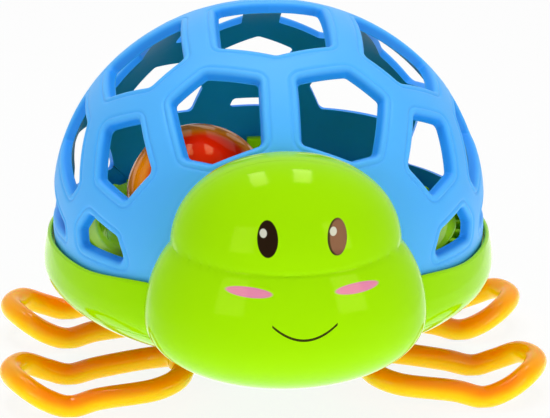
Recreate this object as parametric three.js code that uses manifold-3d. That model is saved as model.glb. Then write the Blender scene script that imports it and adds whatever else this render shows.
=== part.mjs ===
// Soft rattle in the shape of a turtle: a squeezable lattice shell on a rigid hull, a loose ball with beads
// inside the shell, a hollow head and four flexible loop legs.
// Millimetres, +Z up, the head towards -Y. The toy stands on z = 0 under the middle of its outline.

import * as THREE from 'three';
import { mergeVertices } from 'three/addons/utils/BufferGeometryUtils.js';
import Module from 'manifold-3d';

const wasm = await Module();
wasm.setup();

// Fits
const gap = 0.3; // clearance between pieces that rest on each other
const screwClearance = 0.25; // radial room round a screw

// Lattice shell
const domeRadius = 69.5;
const shoulderBulge = 1.2; // the soft dome is fuller than a ball halfway up
const domeCentreHeight = 51;
const shellWall = 3.5;
const barFlat = 7; // flat top of a lattice bar
const barBevel = 2.6; // sloped band on each side of the flat
const bevelDrop = 1.2;
const windowDraft = 0.3; // the windows narrow a little towards the inside
const windowCorner = 1.8; // corner radius of a window
const rimBand = 9.6; // closed band under the lowest windows
const flangeDepth = 11; // inward flange that the deck clamps, from the dome's outside
const flangeThickness = 2.5;
const latticeStep = 9; // length of a facet along a bar
const cornerShare = 0.42; // most of an edge that a rounded corner takes

// Hull
const hullBottomHeight = 15.5;
const hullFlatRadius = 34;
const hullWidestHeight = 37.5;
const hullBulge = 2.7; // widest radius beyond the lip's inside
const partingHeight = 31;
const hullRimHeight = 46.6;
const lipGap = 0.5;
const lipWall = 1.2;
const hullWall = 2.2;
const tongueHeight = 3;
const tongueWall = 0.9;
const ledgeTop = 42.8;
const ledgeThickness = 2.2;
const ledgeWidth = 16.5; // from the lip's inside to the ledge's inner edge
const hullSides = 36;

// Deck
const deckThickness = 2;
const kerbHeight = 4;
const kerbWidth = 6.5;
const toothCount = 42;
const toothLength = 2.9;
const toothWidth = 3.2;
const toothHeight = 2.6;
const rearTabWidth = 6;
const rearTabHeight = 8.5; // above the kerb
const deckSides = 42;

// Screws
const screwShank = 2.9;
const screwHead = 5.6;
const screwHeadHeight = 2;
const bossWall = 2.3;
const wellInset = 1.5; // from the ledge's inner edge to the deck's screw posts
const deckPostLength = 5.6;
const plateScrewGrip = 7; // depth of a screw above the hull's flat bottom
const headScrewGrip = 11; // depth of a screw in front of the hull
const screwCrown = 0.7; // flat middle of a head, as a share of its radius
const screwShoulder = 0.55; // upright side of a head, as a share of its height
const screwSides = 10;

// Legs and their clamp plate
const tubeDiameter = 7.2;
const footFlat = 0.5; // ground off the lowest points
const legReach = 87.5; // outside of a loop's tip
const legSpacing = 60; // front loop to rear loop
const loopWidth = 34.8; // across a loop, outside to outside
const tipHeight = 10;
const dipReach = 65.5;
const loopInner = 29; // middle of the tube at the loop's inner end
const loopInnerDrop = 2.2; // of the tube there below the tab's middle
const tabThickness = 5;
const tabWidth = 10;
const tabHole = [15, 23];
const plateMargin = 5.5; // plate's edge beyond the middle of its screws
const plateThickness = 4;
const tubeSides = 8;
const tubeSteps = 38;
const cornerSegments = 6; // in the round ends of the tabs and the plate

// Head
const headStandOff = 4; // middle of the head in front of the dome's outside
const headWall = 2.2;
const browHeight = 66;
const browHalfWidth = 35;
const browHalfDepth = 25.5;
const browRise = 28.3;
const browDrop = 24;
const muzzleHeight = 44;
const muzzleHalfWidth = 42.8;
const muzzleHalfDepth = 28.5;
const muzzleRise = 38;
const muzzleDrop = 21.5;
const lobeSquareness = 0.94; // 1 is an ellipsoid, less is fuller
const headParting = 4; // parting plane in front of the head's middle
const headScrewSpread = 32;
const lobeBands = 10;
const lobeSides = 24;
const headSeatBands = 24; // of the round seat against the shell

// Ball and beads
const ballDiameter = 45;
const ballWall = 1.8;
const ballLap = 0.75; // each leaf of the lap joint between the halves
const ballLapHeight = 1;
const ballShellGap = 0.8;
const ballBearing = 38; // degrees from the head towards the toy's right
const beadDiameter = 6.4;
const beadCount = 6; // round one in the middle
const ballSides = 20;
const ballBands = 5;

// Heights and radii that follow from the sizes above
const shellInside = domeRadius - shellWall;
const flangeBottom = ledgeTop + gap;
const flangeTop = flangeBottom + flangeThickness;
const flangeInside = domeRadius - flangeDepth;
const lipInside = domeRadius + lipGap;
const lipOutside = lipInside + lipWall;
const hullRadius = lipInside + hullBulge;
const ledgeInside = lipInside - ledgeWidth;
const deckBottom = ledgeTop + gap;
const deckTop = deckBottom + deckThickness;
const deckRadius = flangeInside - 3 * gap;
const kerbTop = deckTop + kerbHeight;
const kerbInside = deckRadius - kerbWidth / 2;
const kerbOutside = kerbInside + kerbWidth;
const tabMiddle = hullBottomHeight - gap - tabThickness / 2;
const plateTop = hullBottomHeight - 2 * gap - tabThickness;
const plateBottom = plateTop - plateThickness;
const headMiddle = domeRadius + headStandOff;
const screwHole = screwShank / 2 + screwClearance;
const headRecess = screwHead / 2 + 2 * screwClearance;
const bossRadius = screwHole + bossWall;
const wellRadius = ledgeInside - bossRadius - wellInset;
const ballRadius = ballDiameter / 2;
const ballInside = ballRadius - ballWall;
const ballHeight = deckTop + gap + ballRadius;
const ballTravel = shellInside - ballRadius - ballShellGap;
const ballOrbit = Math.sqrt(ballTravel ** 2 - (ballHeight - domeCentreHeight) ** 2);
const frontReach = headMiddle + muzzleHalfDepth;

// Finishes
const shellFinish = { color: 0x46aaf4, roughness: 0.55, metalness: 0 };
const greenFinish = { color: 0x9fdf00, roughness: 0.2, metalness: 0 };
const legFinish = { color: 0xff9d0a, roughness: 0.25, metalness: 0 };
const ballFinish = { color: 0xe8691a, roughness: 0.1, metalness: 0, transparent: true, opacity: 0.6 };
const beadFinish = { color: 0xffb54a, roughness: 0.35, metalness: 0 };
const steelFinish = { color: 0xb9bcc0, roughness: 0.4, metalness: 1 };

// Solids

function solidOf(geometry) {
  const plain = geometry.index ? geometry.toNonIndexed() : geometry.clone();
  plain.deleteAttribute('normal');
  plain.deleteAttribute('uv');
  const merged = mergeVertices(plain, 1e-4);
  const place = merged.getAttribute('position');
  const corners = [];
  let volume = 0;
  const [a, b, c] = [new THREE.Vector3(), new THREE.Vector3(), new THREE.Vector3()];
  for (let i = 0; i < merged.index.count; i += 3) {
    const [p, q, r] = [merged.index.getX(i), merged.index.getX(i + 1), merged.index.getX(i + 2)];
    if (p === q || q === r || r === p) continue;
    corners.push(p, q, r);
    a.fromBufferAttribute(place, p);
    b.fromBufferAttribute(place, q);
    c.fromBufferAttribute(place, r);
    volume += a.dot(b.cross(c));
  }
  if (volume < 0) corners.reverse();
  const vertProperties = new Float32Array(place.array);
  const triVerts = new Uint32Array(corners);
  return new wasm.Manifold(new wasm.Mesh({ numProp: 3, vertProperties, triVerts }));
}

function geometryOf(solid) {
  const mesh = solid.getMesh();
  const geometry = new THREE.BufferGeometry();
  geometry.setAttribute('position', new THREE.BufferAttribute(mesh.vertProperties, 3));
  geometry.setIndex(new THREE.BufferAttribute(mesh.triVerts, 1));
  geometry.computeVertexNormals();
  return geometry;
}

function piece(name, geometry, finish) {
  const mesh = new THREE.Mesh(geometry, new THREE.MeshStandardMaterial(finish));
  mesh.name = name;
  return mesh;
}

// A solid of revolution about Z from a profile of [radius, height] points
function revolve(profile, sides) {
  const points = profile.map(([radius, height]) => new THREE.Vector2(radius, height));
  return solidOf(new THREE.LatheGeometry(points, sides).rotateX(Math.PI / 2));
}

function cylinder(radius, bottom, top, sides = screwSides) {
  return revolve([[0, bottom], [radius, bottom], [radius, top], [0, top]], sides);
}

function block(low, high) {
  const size = high.map((value, i) => value - low[i]);
  const middle = high.map((value, i) => (value + low[i]) / 2);
  return solidOf(new THREE.BoxGeometry(...size).translate(...middle));
}

// The same solid standing at several [x, y] places
function repeat(solid, places) {
  return places.map(([x, y]) => solid.translate([x, y, 0])).reduce((all, one) => all.add(one));
}

// Points on a curve of a quarter ellipse or less, angles in degrees
function arcPoints(centre, radii, from, to, steps) {
  return Array.from({ length: steps + 1 }, (_, i) => {
    const angle = THREE.MathUtils.degToRad(from + ((to - from) * i) / steps);
    return [centre[0] + radii[0] * Math.cos(angle), centre[1] + radii[1] * Math.sin(angle)];
  });
}

// A closed skin over rings of points; a ring of one point closes an end
class Skin {
  constructor() {
    this.corners = [];
  }

  triangle(...points) {
    points.forEach((point) => this.corners.push(point.x, point.y, point.z));
  }

  quad(a, b, c, d) {
    this.triangle(a, b, c);
    this.triangle(a, c, d);
  }

  // Faces between two rows of points of equal length
  strip(near, far) {
    for (let i = 0; i + 1 < near.length; i += 1) this.quad(near[i], near[i + 1], far[i + 1], far[i]);
  }

  fan(row, tip) {
    for (let i = 0; i + 1 < row.length; i += 1) this.triangle(row[i], row[i + 1], tip);
  }

  solid() {
    const geometry = new THREE.BufferGeometry();
    geometry.setAttribute('position', new THREE.Float32BufferAttribute(this.corners, 3));
    return solidOf(geometry);
  }
}

// Lattice shell
// Bars meet at junctions, given as [side, forward, up] directions from the dome's centre. Those with a side
// stand on both sides of the toy. They are drawn for a rim at one height, and keep their share of the rise
// from the rim to the crown.
const drawnRim = -0.113;
const junctionPlaces = {
  crown: [0, -0.155, 0.988],
  frontFork: [0, 0.52, 0.854],
  panelTop: [0, 0.84, 0.54],
  backFork: [0, -0.655, 0.756],
  topFront: [0.328, 0.388, 0.861],
  topSide: [0.315, -0.185, 0.931],
  upperFront: [0.547, 0.467, 0.695],
  panelBrow: [0.31, 0.85, 0.43],
  panelShoulder: [0.48, 0.757, 0.44],
  panelSide: [0.674, 0.71, 0.202],
  lowerFront: [0.837, 0.472, 0.279],
  upperSide: [0.78, 0.255, 0.57],
  sideRib: [0.765, -0.17, 0.621],
  ribMiddle: [0.888, -0.175, 0.425],
  ribFoot: [0.947, -0.15, 0.29],
  lowerSide: [0.919, 0.373, 0.126],
  lowerBack: [0.958, -0.245, 0.125],
  topBack: [0.29, -0.735, 0.613],
  upperBack: [0.52, -0.585, 0.622],
  midBack: [0.17, -0.91, 0.38],
  rearBrow: [0.27, -0.95, 0.155],
  backFlank: [0.72, -0.565, 0.404],
  rearSide: [0.68, -0.715, 0.145],
};

// Junctions on the rim, by their bearing from the front in degrees
const rimBearings = { rimPanel: 35, rimSide: 66, rimBack: 104, rimRear: 141 };

// Windows as rings of junctions. A name ending in - is the junction on the toy's other side.
const middleWindows = [
  ['crown', 'topSide', 'topFront', 'frontFork', 'topFront-', 'topSide-'],
  ['backFork', 'topBack', 'midBack', 'midBack-', 'topBack-'],
  ['midBack', 'rearBrow', 'rearBrow-', 'midBack-'],
];
const sideWindows = [
  ['topSide', 'sideRib', 'upperSide', 'upperFront', 'topFront'],
  ['frontFork', 'topFront', 'upperFront', 'panelShoulder', 'panelBrow', 'panelTop'],
  ['upperFront', 'upperSide', 'lowerFront', 'panelSide', 'panelShoulder'],
  ['upperSide', 'sideRib', 'ribMiddle', 'ribFoot', 'lowerSide', 'lowerFront'],
  ['lowerFront', 'lowerSide', 'rimSide', 'rimPanel', 'panelSide'],
  ['ribFoot', 'lowerBack', 'rimBack', 'rimSide', 'lowerSide'],
  ['crown', 'backFork', 'topBack', 'upperBack', 'topSide'],
  ['topBack', 'midBack', 'rearBrow', 'rearSide', 'backFlank', 'upperBack'],
  ['topSide', 'upperBack', 'backFlank', 'ribMiddle', 'sideRib'],
  ['backFlank', 'rearSide', 'rimRear', 'rimBack', 'lowerBack', 'ribFoot', 'ribMiddle'],
];

// The closed panels behind the head and at the back
const panels = [
  ['panelTop', 'panelBrow', 'panelShoulder', 'panelSide', 'rimPanel',
    'rimPanel-', 'panelSide-', 'panelShoulder-', 'panelBrow-'],
  ['rearBrow', 'rearSide', 'rimRear', 'rimRear-', 'rearSide-', 'rearBrow-'],
];
const panelRings = 3;
const minimumBarSteps = 3;

const rimUp = (flangeBottom - domeCentreHeight) / domeRadius;
const rimRound = Math.sqrt(1 - rimUp ** 2);

function bearingDirection(degrees) {
  const angle = THREE.MathUtils.degToRad(degrees);
  return new THREE.Vector3(rimRound * Math.sin(angle), -rimRound * Math.cos(angle), rimUp);
}

function junction(name) {
  const other = name.endsWith('-');
  const plain = other ? name.slice(0, -1) : name;
  const side = other ? -1 : 1;
  if (plain in rimBearings) return bearingDirection(side * rimBearings[plain]);
  const [across, forward, up] = junctionPlaces[plain];
  const lift = ((rimUp - drawnRim) * (1 - up)) / (1 - drawnRim);
  return new THREE.Vector3(side * across, -forward, up + lift).normalize();
}

const isRim = (name) => name.replace('-', '') in rimBearings;
const mirrorName = (name) => {
  if (name.endsWith('-')) return name.slice(0, -1);
  const place = junctionPlaces[name];
  return place && place[0] === 0 ? name : `${name}-`;
};

// Rings run anticlockwise seen from outside
function outwardRing(names) {
  const ring = names.map(junction);
  const turn = new THREE.Vector3();
  const middle = new THREE.Vector3();
  ring.forEach((place, i) => {
    turn.add(place.clone().cross(ring[(i + 1) % ring.length]));
    middle.add(place);
  });
  return turn.dot(middle) > 0 ? names : [...names].reverse();
}

// An edge of a window: its two ends, the plane that it lies in and its points along the bar's middle
function latticeEdge(fromName, toName) {
  const [from, to] = [junction(fromName), junction(toName)];
  const rim = isRim(fromName) && isRim(toName);
  const steps = Math.max(minimumBarSteps, Math.round((from.angleTo(to) * domeRadius) / latticeStep));
  const points = Array.from({ length: steps + 1 }, (_, i) => {
    const point = from.clone().lerp(to, i / steps);
    if (!rim) return point.normalize();
    return point.setZ(0).setLength(rimRound).setZ(rimUp);
  });
  const normal = rim ? new THREE.Vector3(0, 0, 1) : from.clone().cross(to).normalize();
  return { rim, steps, points, normal };
}

// The place where two offset edges of a window meet on the unit sphere
function offsetCorner(before, after, offsets) {
  const [p, q] = [before.normal, after.normal];
  const share = p.dot(q);
  const [s, t] = offsets;
  const inPlane = p.clone().multiplyScalar((s - t * share) / (1 - share ** 2));
  inPlane.addScaledVector(q, (t - s * share) / (1 - share ** 2));
  const along = p.clone().cross(q).normalize();
  along.multiplyScalar(Math.sqrt(Math.max(0, 1 - inPlane.lengthSq())));
  const middle = before.points.at(-1);
  const options = [inPlane.clone().add(along), inPlane.clone().sub(along)];
  return options[0].distanceTo(middle) < options[1].distanceTo(middle) ? options[0] : options[1];
}

// A window's outline drawn in from its bars' middles, with rounded corners, one row of points for each edge
function insetRows(edges, halfBar, band, corner) {
  const offset = (edge) => (edge.rim ? rimUp + band / domeRadius : Math.sin(halfBar / domeRadius));
  const sharp = edges.map((edge, i) => {
    const before = edges.at(i - 1);
    return offsetCorner(before, edge, [offset(before), offset(edge)]);
  });
  const rounded = sharp.map((place, i) => {
    const back = sharp.at(i - 1).clone().sub(place);
    const ahead = sharp[(i + 1) % sharp.length].clone().sub(place);
    const half = back.angleTo(ahead) / 2;
    const room = cornerShare * Math.min(back.length(), ahead.length());
    const run = Math.min(corner / domeRadius / Math.tan(half), room);
    const round = run * Math.tan(half);
    const inward = back.clone().normalize().add(ahead.clone().normalize()).normalize();
    const middle = place.clone().addScaledVector(inward, round / Math.sin(half) - round).normalize();
    return { run, middle };
  });
  return edges.map((edge, i) => {
    const next = (i + 1) % edges.length;
    const along = sharp[next].clone().sub(sharp[i]);
    const start = rounded[i].run / along.length();
    const end = 1 - rounded[next].run / along.length();
    const row = [rounded[i].middle];
    for (let k = 1; k < edge.steps; k += 1) {
      const share = start + ((end - start) * (k - 1)) / (edge.steps - 2);
      row.push(sharp[i].clone().addScaledVector(along, share).normalize());
    }
    return [...row, rounded[next].middle];
  });
}

// The bulge grows from nothing at the dome's widest height and fades again at the crown
const domeGrowth = (up) => shoulderBulge * Math.sin(Math.PI * Math.max(0, up));

const atRadius = (row, radius) => row.map((place) => {
  const point = place.clone().multiplyScalar(radius + domeGrowth(place.z));
  return point.setZ(point.z + domeCentreHeight);
});

// The inside end of a bar's middle line; on the rim it stands on the flange
function insideRow(row) {
  const foot = flangeTop - domeCentreHeight;
  const footRadius = Math.sqrt(shellInside ** 2 - foot ** 2);
  return row.map((place) => {
    if (Math.abs(place.z - rimUp) > 1e-6) return atRadius([place], shellInside)[0];
    return place.clone().setZ(0).setLength(footRadius).setZ(flangeTop);
  });
}

const ringAt = (row, radius, height) => (
  row.map((place) => place.clone().setZ(0).setLength(radius).setZ(height))
);

function addFlange(skin, edge) {
  const row = [...edge.points].reverse();
  const outer = atRadius(row, domeRadius);
  const low = ringAt(row, flangeInside, flangeBottom);
  const high = ringAt(row, flangeInside, flangeTop);
  skin.strip(outer, low);
  skin.strip(low, high);
  skin.strip(high, insideRow(row));
}

function addWindow(skin, names) {
  const ring = outwardRing(names);
  const edges = ring.map((name, i) => latticeEdge(name, ring[(i + 1) % ring.length]));
  const flat = insetRows(edges, barFlat / 2, rimBand - barBevel, windowCorner + barBevel);
  const open = insetRows(edges, barFlat / 2 + barBevel, rimBand, windowCorner);
  const inner = insetRows(edges, barFlat / 2 + barBevel + windowDraft, rimBand + windowDraft, windowCorner);
  edges.forEach((edge, i) => {
    const rows = [
      atRadius(edge.points, domeRadius),
      atRadius(flat[i], domeRadius),
      atRadius(open[i], domeRadius - bevelDrop),
      atRadius(inner[i], shellInside),
      insideRow(edge.points),
    ];
    for (let k = 0; k + 1 < rows.length; k += 1) skin.strip(rows[k], rows[k + 1]);
    if (edge.rim) addFlange(skin, edge);
  });
}

function addPanel(skin, names) {
  const ring = outwardRing(names);
  const edges = ring.map((name, i) => latticeEdge(name, ring[(i + 1) % ring.length]));
  const border = edges.flatMap((edge) => edge.points.slice(0, -1));
  border.push(border[0]);
  const middle = border.reduce((sum, place) => sum.add(place), new THREE.Vector3()).normalize();
  const rows = Array.from({ length: panelRings }, (_, k) => (
    border.map((place) => (k === 0 ? place : place.clone().lerp(middle, k / panelRings).normalize()))
  ));
  const outer = rows.map((row) => atRadius(row, domeRadius));
  const inner = rows.map((row, k) => (k === 0 ? insideRow(row) : atRadius(row, shellInside)));
  for (let k = 0; k + 1 < panelRings; k += 1) {
    skin.strip(outer[k], outer[k + 1]);
    skin.strip(inner[k + 1], inner[k]);
  }
  skin.fan(outer.at(-1), atRadius([middle], domeRadius)[0]);
  skin.fan([...inner.at(-1)].reverse(), atRadius([middle], shellInside)[0]);
  edges.filter((edge) => edge.rim).forEach((edge) => addFlange(skin, edge));
}

function makeShell() {
  const skin = new Skin();
  const mirrored = sideWindows.map((names) => names.map(mirrorName));
  [...middleWindows, ...sideWindows, ...mirrored].forEach((names) => addWindow(skin, names));
  panels.forEach((names) => addPanel(skin, names));
  return skin.solid();
}

// Hull
// The outside goes from the lip out to the widest height and in again, as part of an ellipse, to the bottom
const bowlDepth = (hullWidestHeight - hullBottomHeight) / Math.sqrt(1 - (hullFlatRadius / hullRadius) ** 2);
const bowlRadius = (height) => hullRadius * Math.sqrt(1 - ((hullWidestHeight - height) / bowlDepth) ** 2);
const upperRadius = (height) => {
  const share = (height - hullWidestHeight) / (hullRimHeight - hullWidestHeight);
  return hullRadius - (hullRadius - lipOutside) * share ** 2;
};
const partingRadius = bowlRadius(partingHeight);
const wellPlaces = [[wellRadius, 0], [0, wellRadius], [-wellRadius, 0], [0, -wellRadius]];
const wellTop = deckBottom - deckPostLength - gap;
const wellShoulder = wellTop - bossWall;

const outsideRadius = (height) => (height < hullWidestHeight ? bowlRadius(height) : upperRadius(height));

// Heights at which the outline is drawn, from the bottom to the parting line and on to the lip
const steps = (from, to, count) => (
  Array.from({ length: count + 1 }, (_, i) => from + ((to - from) * i) / count)
);
const lowerHeights = steps(hullBottomHeight, partingHeight, 5);
const upperHeights = [
  ...steps(partingHeight, hullWidestHeight, 2),
  ...steps(hullWidestHeight, hullRimHeight, 3).slice(1),
];
const outline = (heights, grow) => heights.map((height) => [outsideRadius(height) + grow, height]);

// The hull as one solid body, drawn out by an even margin
function hullForm(grow) {
  return revolve([
    [0, hullBottomHeight - grow],
    [hullFlatRadius + grow, hullBottomHeight - grow],
    ...outline([...lowerHeights, ...upperHeights.slice(1)], grow),
    [lipOutside + grow, hullRimHeight + grow],
    [0, hullRimHeight + grow],
  ], hullSides);
}

const headScrewPlaces = [-headScrewSpread / 2, headScrewSpread / 2];
const headScrewHeight = ledgeTop - ledgeThickness - gap - screwHead / 2;
const headSeatRadius = (screwHead + gap) / 2;
const headSeatEdge = headScrewSpread / 2 + headSeatRadius;
const headBossBack = Math.sqrt((hullRadius - hullWall) ** 2 - headSeatEdge ** 2) - gap;

// A cylinder lying along Y between two distances in front of the toy's axis
function forwardCylinder(radius, across, height, near, far) {
  return cylinder(radius, near, far).rotate([90, 0, 0]).translate([across, 0, height]);
}

function makeHullUpper() {
  const leaf = partingRadius - hullWall + tongueWall + gap;
  const tongueRoom = partingHeight + tongueHeight + gap;
  const profile = [
    ...outline(upperHeights, 0).reverse().slice(0, -1),
    [partingRadius, partingHeight + gap / 2],
    [leaf, partingHeight + gap / 2],
    [leaf, tongueRoom],
    ...outline([tongueRoom, hullWidestHeight, ledgeTop - ledgeThickness], -hullWall),
    [ledgeInside, ledgeTop - ledgeThickness],
    [ledgeInside, ledgeTop],
    [lipInside, ledgeTop],
    [lipInside, hullRimHeight],
  ];
  profile.push(profile[0]);
  let hull = revolve(profile, hullSides);
  headScrewPlaces.forEach((across) => {
    const bossFront = hullRadius - hullWall;
    const boss = forwardCylinder(headSeatRadius, across, headScrewHeight, headBossBack, bossFront);
    hull = hull.add(boss.intersect(hullForm(0)));
    hull = hull.subtract(forwardCylinder(screwHole, across, headScrewHeight, 0, frontReach));
  });
  return hull;
}

function makeHullLower() {
  const inside = partingRadius - hullWall;
  const floor = hullBottomHeight + hullWall;
  const tongueTop = partingHeight + tongueHeight;
  const profile = [
    [0, hullBottomHeight],
    ...outline(lowerHeights, 0).slice(0, -1),
    [partingRadius, partingHeight - gap / 2],
    [inside + tongueWall, partingHeight - gap / 2],
    [inside + tongueWall, tongueTop],
    [inside, tongueTop],
    ...outline(steps(partingHeight, floor, 4), -hullWall),
    [0, floor],
  ];
  const bowl = revolve(profile, hullSides);
  const wells = hullForm(0).intersect(repeat(cylinder(headRecess + bossWall, 0, wellTop), wellPlaces));
  const plateBosses = repeat(cylinder(bossRadius, hullBottomHeight, plateBossTop), tabHolePlaces);
  return bowl.add(wells).add(plateBosses)
    .subtract(repeat(cylinder(headRecess, 0, wellShoulder), wellPlaces))
    .subtract(repeat(cylinder(screwHole, 0, wellTop + gap), wellPlaces))
    .subtract(repeat(cylinder(screwHole, 0, plateScrewTip + gap), tabHolePlaces));
}

// Deck: the floor of the rattle chamber, whose toothed kerb clamps the shell's flange
function makeDeck() {
  let deck = revolve([
    [0, deckBottom],
    [deckRadius, deckBottom],
    [deckRadius, flangeTop + gap],
    [kerbOutside, flangeTop + gap],
    [kerbOutside, kerbTop],
    [kerbInside + gap, kerbTop],
    [kerbInside, deckTop],
    [0, deckTop],
  ], deckSides);
  const toothFoot = flangeTop + gap;
  const tooth = block([-toothWidth / 2, kerbOutside - kerbWidth / 2, toothFoot],
    [toothWidth / 2, kerbOutside + toothLength, toothFoot + toothHeight]);
  for (let i = 0; i < toothCount; i += 1) deck = deck.add(tooth.rotate([0, 0, (360 * i) / toothCount]));
  deck = deck.add(block([-rearTabWidth / 2, kerbOutside - gap, toothFoot],
    [rearTabWidth / 2, kerbOutside + toothLength, kerbTop + rearTabHeight]));
  const post = cylinder(bossRadius, deckBottom - deckPostLength, deckTop - deckThickness / 2);
  deck = deck.add(repeat(post, wellPlaces));
  return deck.subtract(repeat(cylinder(screwHole, 0, deckBottom), wellPlaces));
}

// Legs: each a closed tube with a flat tab that the plate clamps under the hull
const tubeRadius = tubeDiameter / 2;
const tabHolePlaces = [[1, 1], [1, -1], [-1, 1], [-1, -1]].map(([x, y]) => [x * tabHole[0], y * tabHole[1]]);
const plateScrewSeat = plateBottom + screwHeadHeight + gap;
const plateScrewTip = hullBottomHeight + plateScrewGrip;
const plateBossTop = plateScrewTip + gap + bossWall;

// One side of the loop from its tip to its inner end: [reach, half width, height]. Each place is set off from
// the tip, the dip or the inner end, with a share of the strand's half width.
const strandWidth = loopWidth / 2 - tubeRadius;
const dipHeight = tubeRadius - footFlat;
const innerHeight = tabMiddle - loopInnerDrop;
const tipCorner = { reach: -4, share: 0.7, rise: -1 };
const tipSlope = { reach: 7, share: 0.97, rise: -1.4 };
const dipSlope = { reach: -9, share: 0.98, rise: 2.2 };
const innerSlope = { reach: 9, share: 1, rise: -2.2 };
const innerCorner = { reach: 2.5, share: 0.72, rise: -0.6 };
const loopPlace = (reach, height, place) => (
  [reach + place.reach, strandWidth * place.share, height + place.rise]
);
const loopSide = [
  loopPlace(legReach - tubeRadius, tipHeight, tipCorner),
  loopPlace(dipReach, (tipHeight + dipHeight) / 2, tipSlope),
  [dipReach, strandWidth, dipHeight],
  loopPlace(dipReach, dipHeight, dipSlope),
  loopPlace(loopInner, innerHeight, innerSlope),
  loopPlace(loopInner, innerHeight, innerCorner),
];

function loopTube() {
  const points = [[legReach - tubeRadius, 0, tipHeight]];
  loopSide.forEach(([reach, half, height]) => points.push([reach, half, height]));
  points.push([loopInner, 0, innerHeight]);
  [...loopSide].reverse().forEach(([reach, half, height]) => points.push([reach, -half, height]));
  const curve = new THREE.CatmullRomCurve3(points.map((point) => new THREE.Vector3(...point)), true);
  const frames = curve.computeFrenetFrames(tubeSteps, true);
  const rings = Array.from({ length: tubeSteps }, (_, i) => {
    const middle = curve.getPointAt(i / tubeSteps);
    return Array.from({ length: tubeSides + 1 }, (__, k) => {
      const angle = (2 * Math.PI * (k % tubeSides)) / tubeSides;
      return middle.clone()
        .addScaledVector(frames.normals[i], tubeRadius * Math.cos(angle))
        .addScaledVector(frames.binormals[i], tubeRadius * Math.sin(angle));
    });
  });
  const skin = new Skin();
  rings.forEach((ring, i) => skin.strip(ring, rings[(i + 1) % tubeSteps]));
  return skin.solid();
}

const slab = (shape, depth) => (
  new THREE.ExtrudeGeometry(shape, { depth, bevelEnabled: false, curveSegments: cornerSegments })
);

// A flat bar with round ends between two [x, y] places
function tabBar(from, to, width, bottom, top) {
  const length = Math.hypot(to[0] - from[0], to[1] - from[1]);
  const angle = THREE.MathUtils.radToDeg(Math.atan2(to[1] - from[1], to[0] - from[0]));
  const shape = new THREE.Shape();
  shape.absarc(0, 0, width / 2, Math.PI / 2, 1.5 * Math.PI, false);
  shape.absarc(length, 0, width / 2, -Math.PI / 2, Math.PI / 2, false);
  const bar = slab(shape, top - bottom);
  return solidOf(bar).rotate([0, 0, angle]).translate([from[0], from[1], bottom]);
}

function makeLeg(side, end) {
  const centre = legSpacing / 2;
  const [bottom, top] = [tabMiddle - tabThickness / 2, tabMiddle + tabThickness / 2];
  const tab = tabBar(tabHole, [loopInner, centre], tabWidth, bottom, top);
  const hole = cylinder(screwHole, bottom - gap, top + gap).translate([...tabHole, 0]);
  const below = block([0, -legSpacing, -tubeDiameter], [2 * legReach, 2 * legSpacing, 0]);
  const leg = loopTube().translate([0, centre, 0]).add(tab).subtract(hole).subtract(below);
  const halves = [side < 0 ? [1, 0, 0] : null, end < 0 ? [0, 1, 0] : null].filter(Boolean);
  return halves.reduce((solid, normal) => solid.mirror(normal), leg);
}

function makePlate() {
  const shape = new THREE.Shape();
  const [x, y] = tabHole;
  shape.absarc(x, y, plateMargin, 0, Math.PI / 2, false);
  shape.absarc(-x, y, plateMargin, Math.PI / 2, Math.PI, false);
  shape.absarc(-x, -y, plateMargin, Math.PI, 1.5 * Math.PI, false);
  shape.absarc(x, -y, plateMargin, 1.5 * Math.PI, 2 * Math.PI, false);
  const plate = slab(shape, plateThickness);
  return solidOf(plate.translate(0, 0, plateBottom))
    .subtract(repeat(cylinder(headRecess, 0, plateScrewSeat), tabHolePlaces))
    .subtract(repeat(cylinder(screwHole, 0, plateTop + gap), tabHolePlaces));
}

// Head: a brow lobe and a wider muzzle lobe, hollow, in a front and a back half
function lobe(height, halfWidth, halfDepth, rise, drop) {
  const power = (value) => Math.sign(value) * Math.abs(value) ** lobeSquareness;
  const rings = Array.from({ length: lobeBands + 1 }, (_, i) => {
    const tilt = (Math.PI * i) / lobeBands - Math.PI / 2;
    const [across, up] = [power(Math.cos(tilt)), power(Math.sin(tilt))];
    return Array.from({ length: lobeSides + 1 }, (__, k) => {
      const angle = (2 * Math.PI * (k % lobeSides)) / lobeSides - Math.PI / 2;
      return new THREE.Vector3(
        halfWidth * across * Math.cos(angle),
        halfDepth * across * Math.sin(angle) - headMiddle,
        height + up * (up > 0 ? rise : drop),
      );
    });
  });
  const [bottom, top] = [rings[0][0], rings.at(-1)[0]];
  const skin = new Skin();
  skin.fan([...rings[1]].reverse(), bottom);
  for (let i = 1; i + 2 <= lobeBands; i += 1) skin.strip(rings[i], rings[i + 1]);
  skin.fan(rings.at(-2), top);
  return skin.solid();
}

// The dome as one solid body, drawn out by an even margin
function domeForm(grow) {
  const profile = steps(-90, 90, headSeatBands).map((degrees) => {
    const tilt = THREE.MathUtils.degToRad(degrees);
    const radius = (domeRadius + domeGrowth(Math.sin(tilt)) + grow) / Math.cos(Math.PI / hullSides);
    return [radius * Math.cos(tilt), domeCentreHeight + radius * Math.sin(tilt)];
  });
  return revolve(onAxis(profile), hullSides);
}

function headForm(shrink) {
  const brow = lobe(browHeight, browHalfWidth - shrink, browHalfDepth - shrink,
    browRise - shrink, browDrop - shrink);
  const muzzle = lobe(muzzleHeight, muzzleHalfWidth - shrink, muzzleHalfDepth - shrink,
    muzzleRise - shrink, muzzleDrop - shrink);
  return brow.add(muzzle).subtract(domeForm(gap + shrink)).subtract(hullForm(gap + shrink));
}

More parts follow.
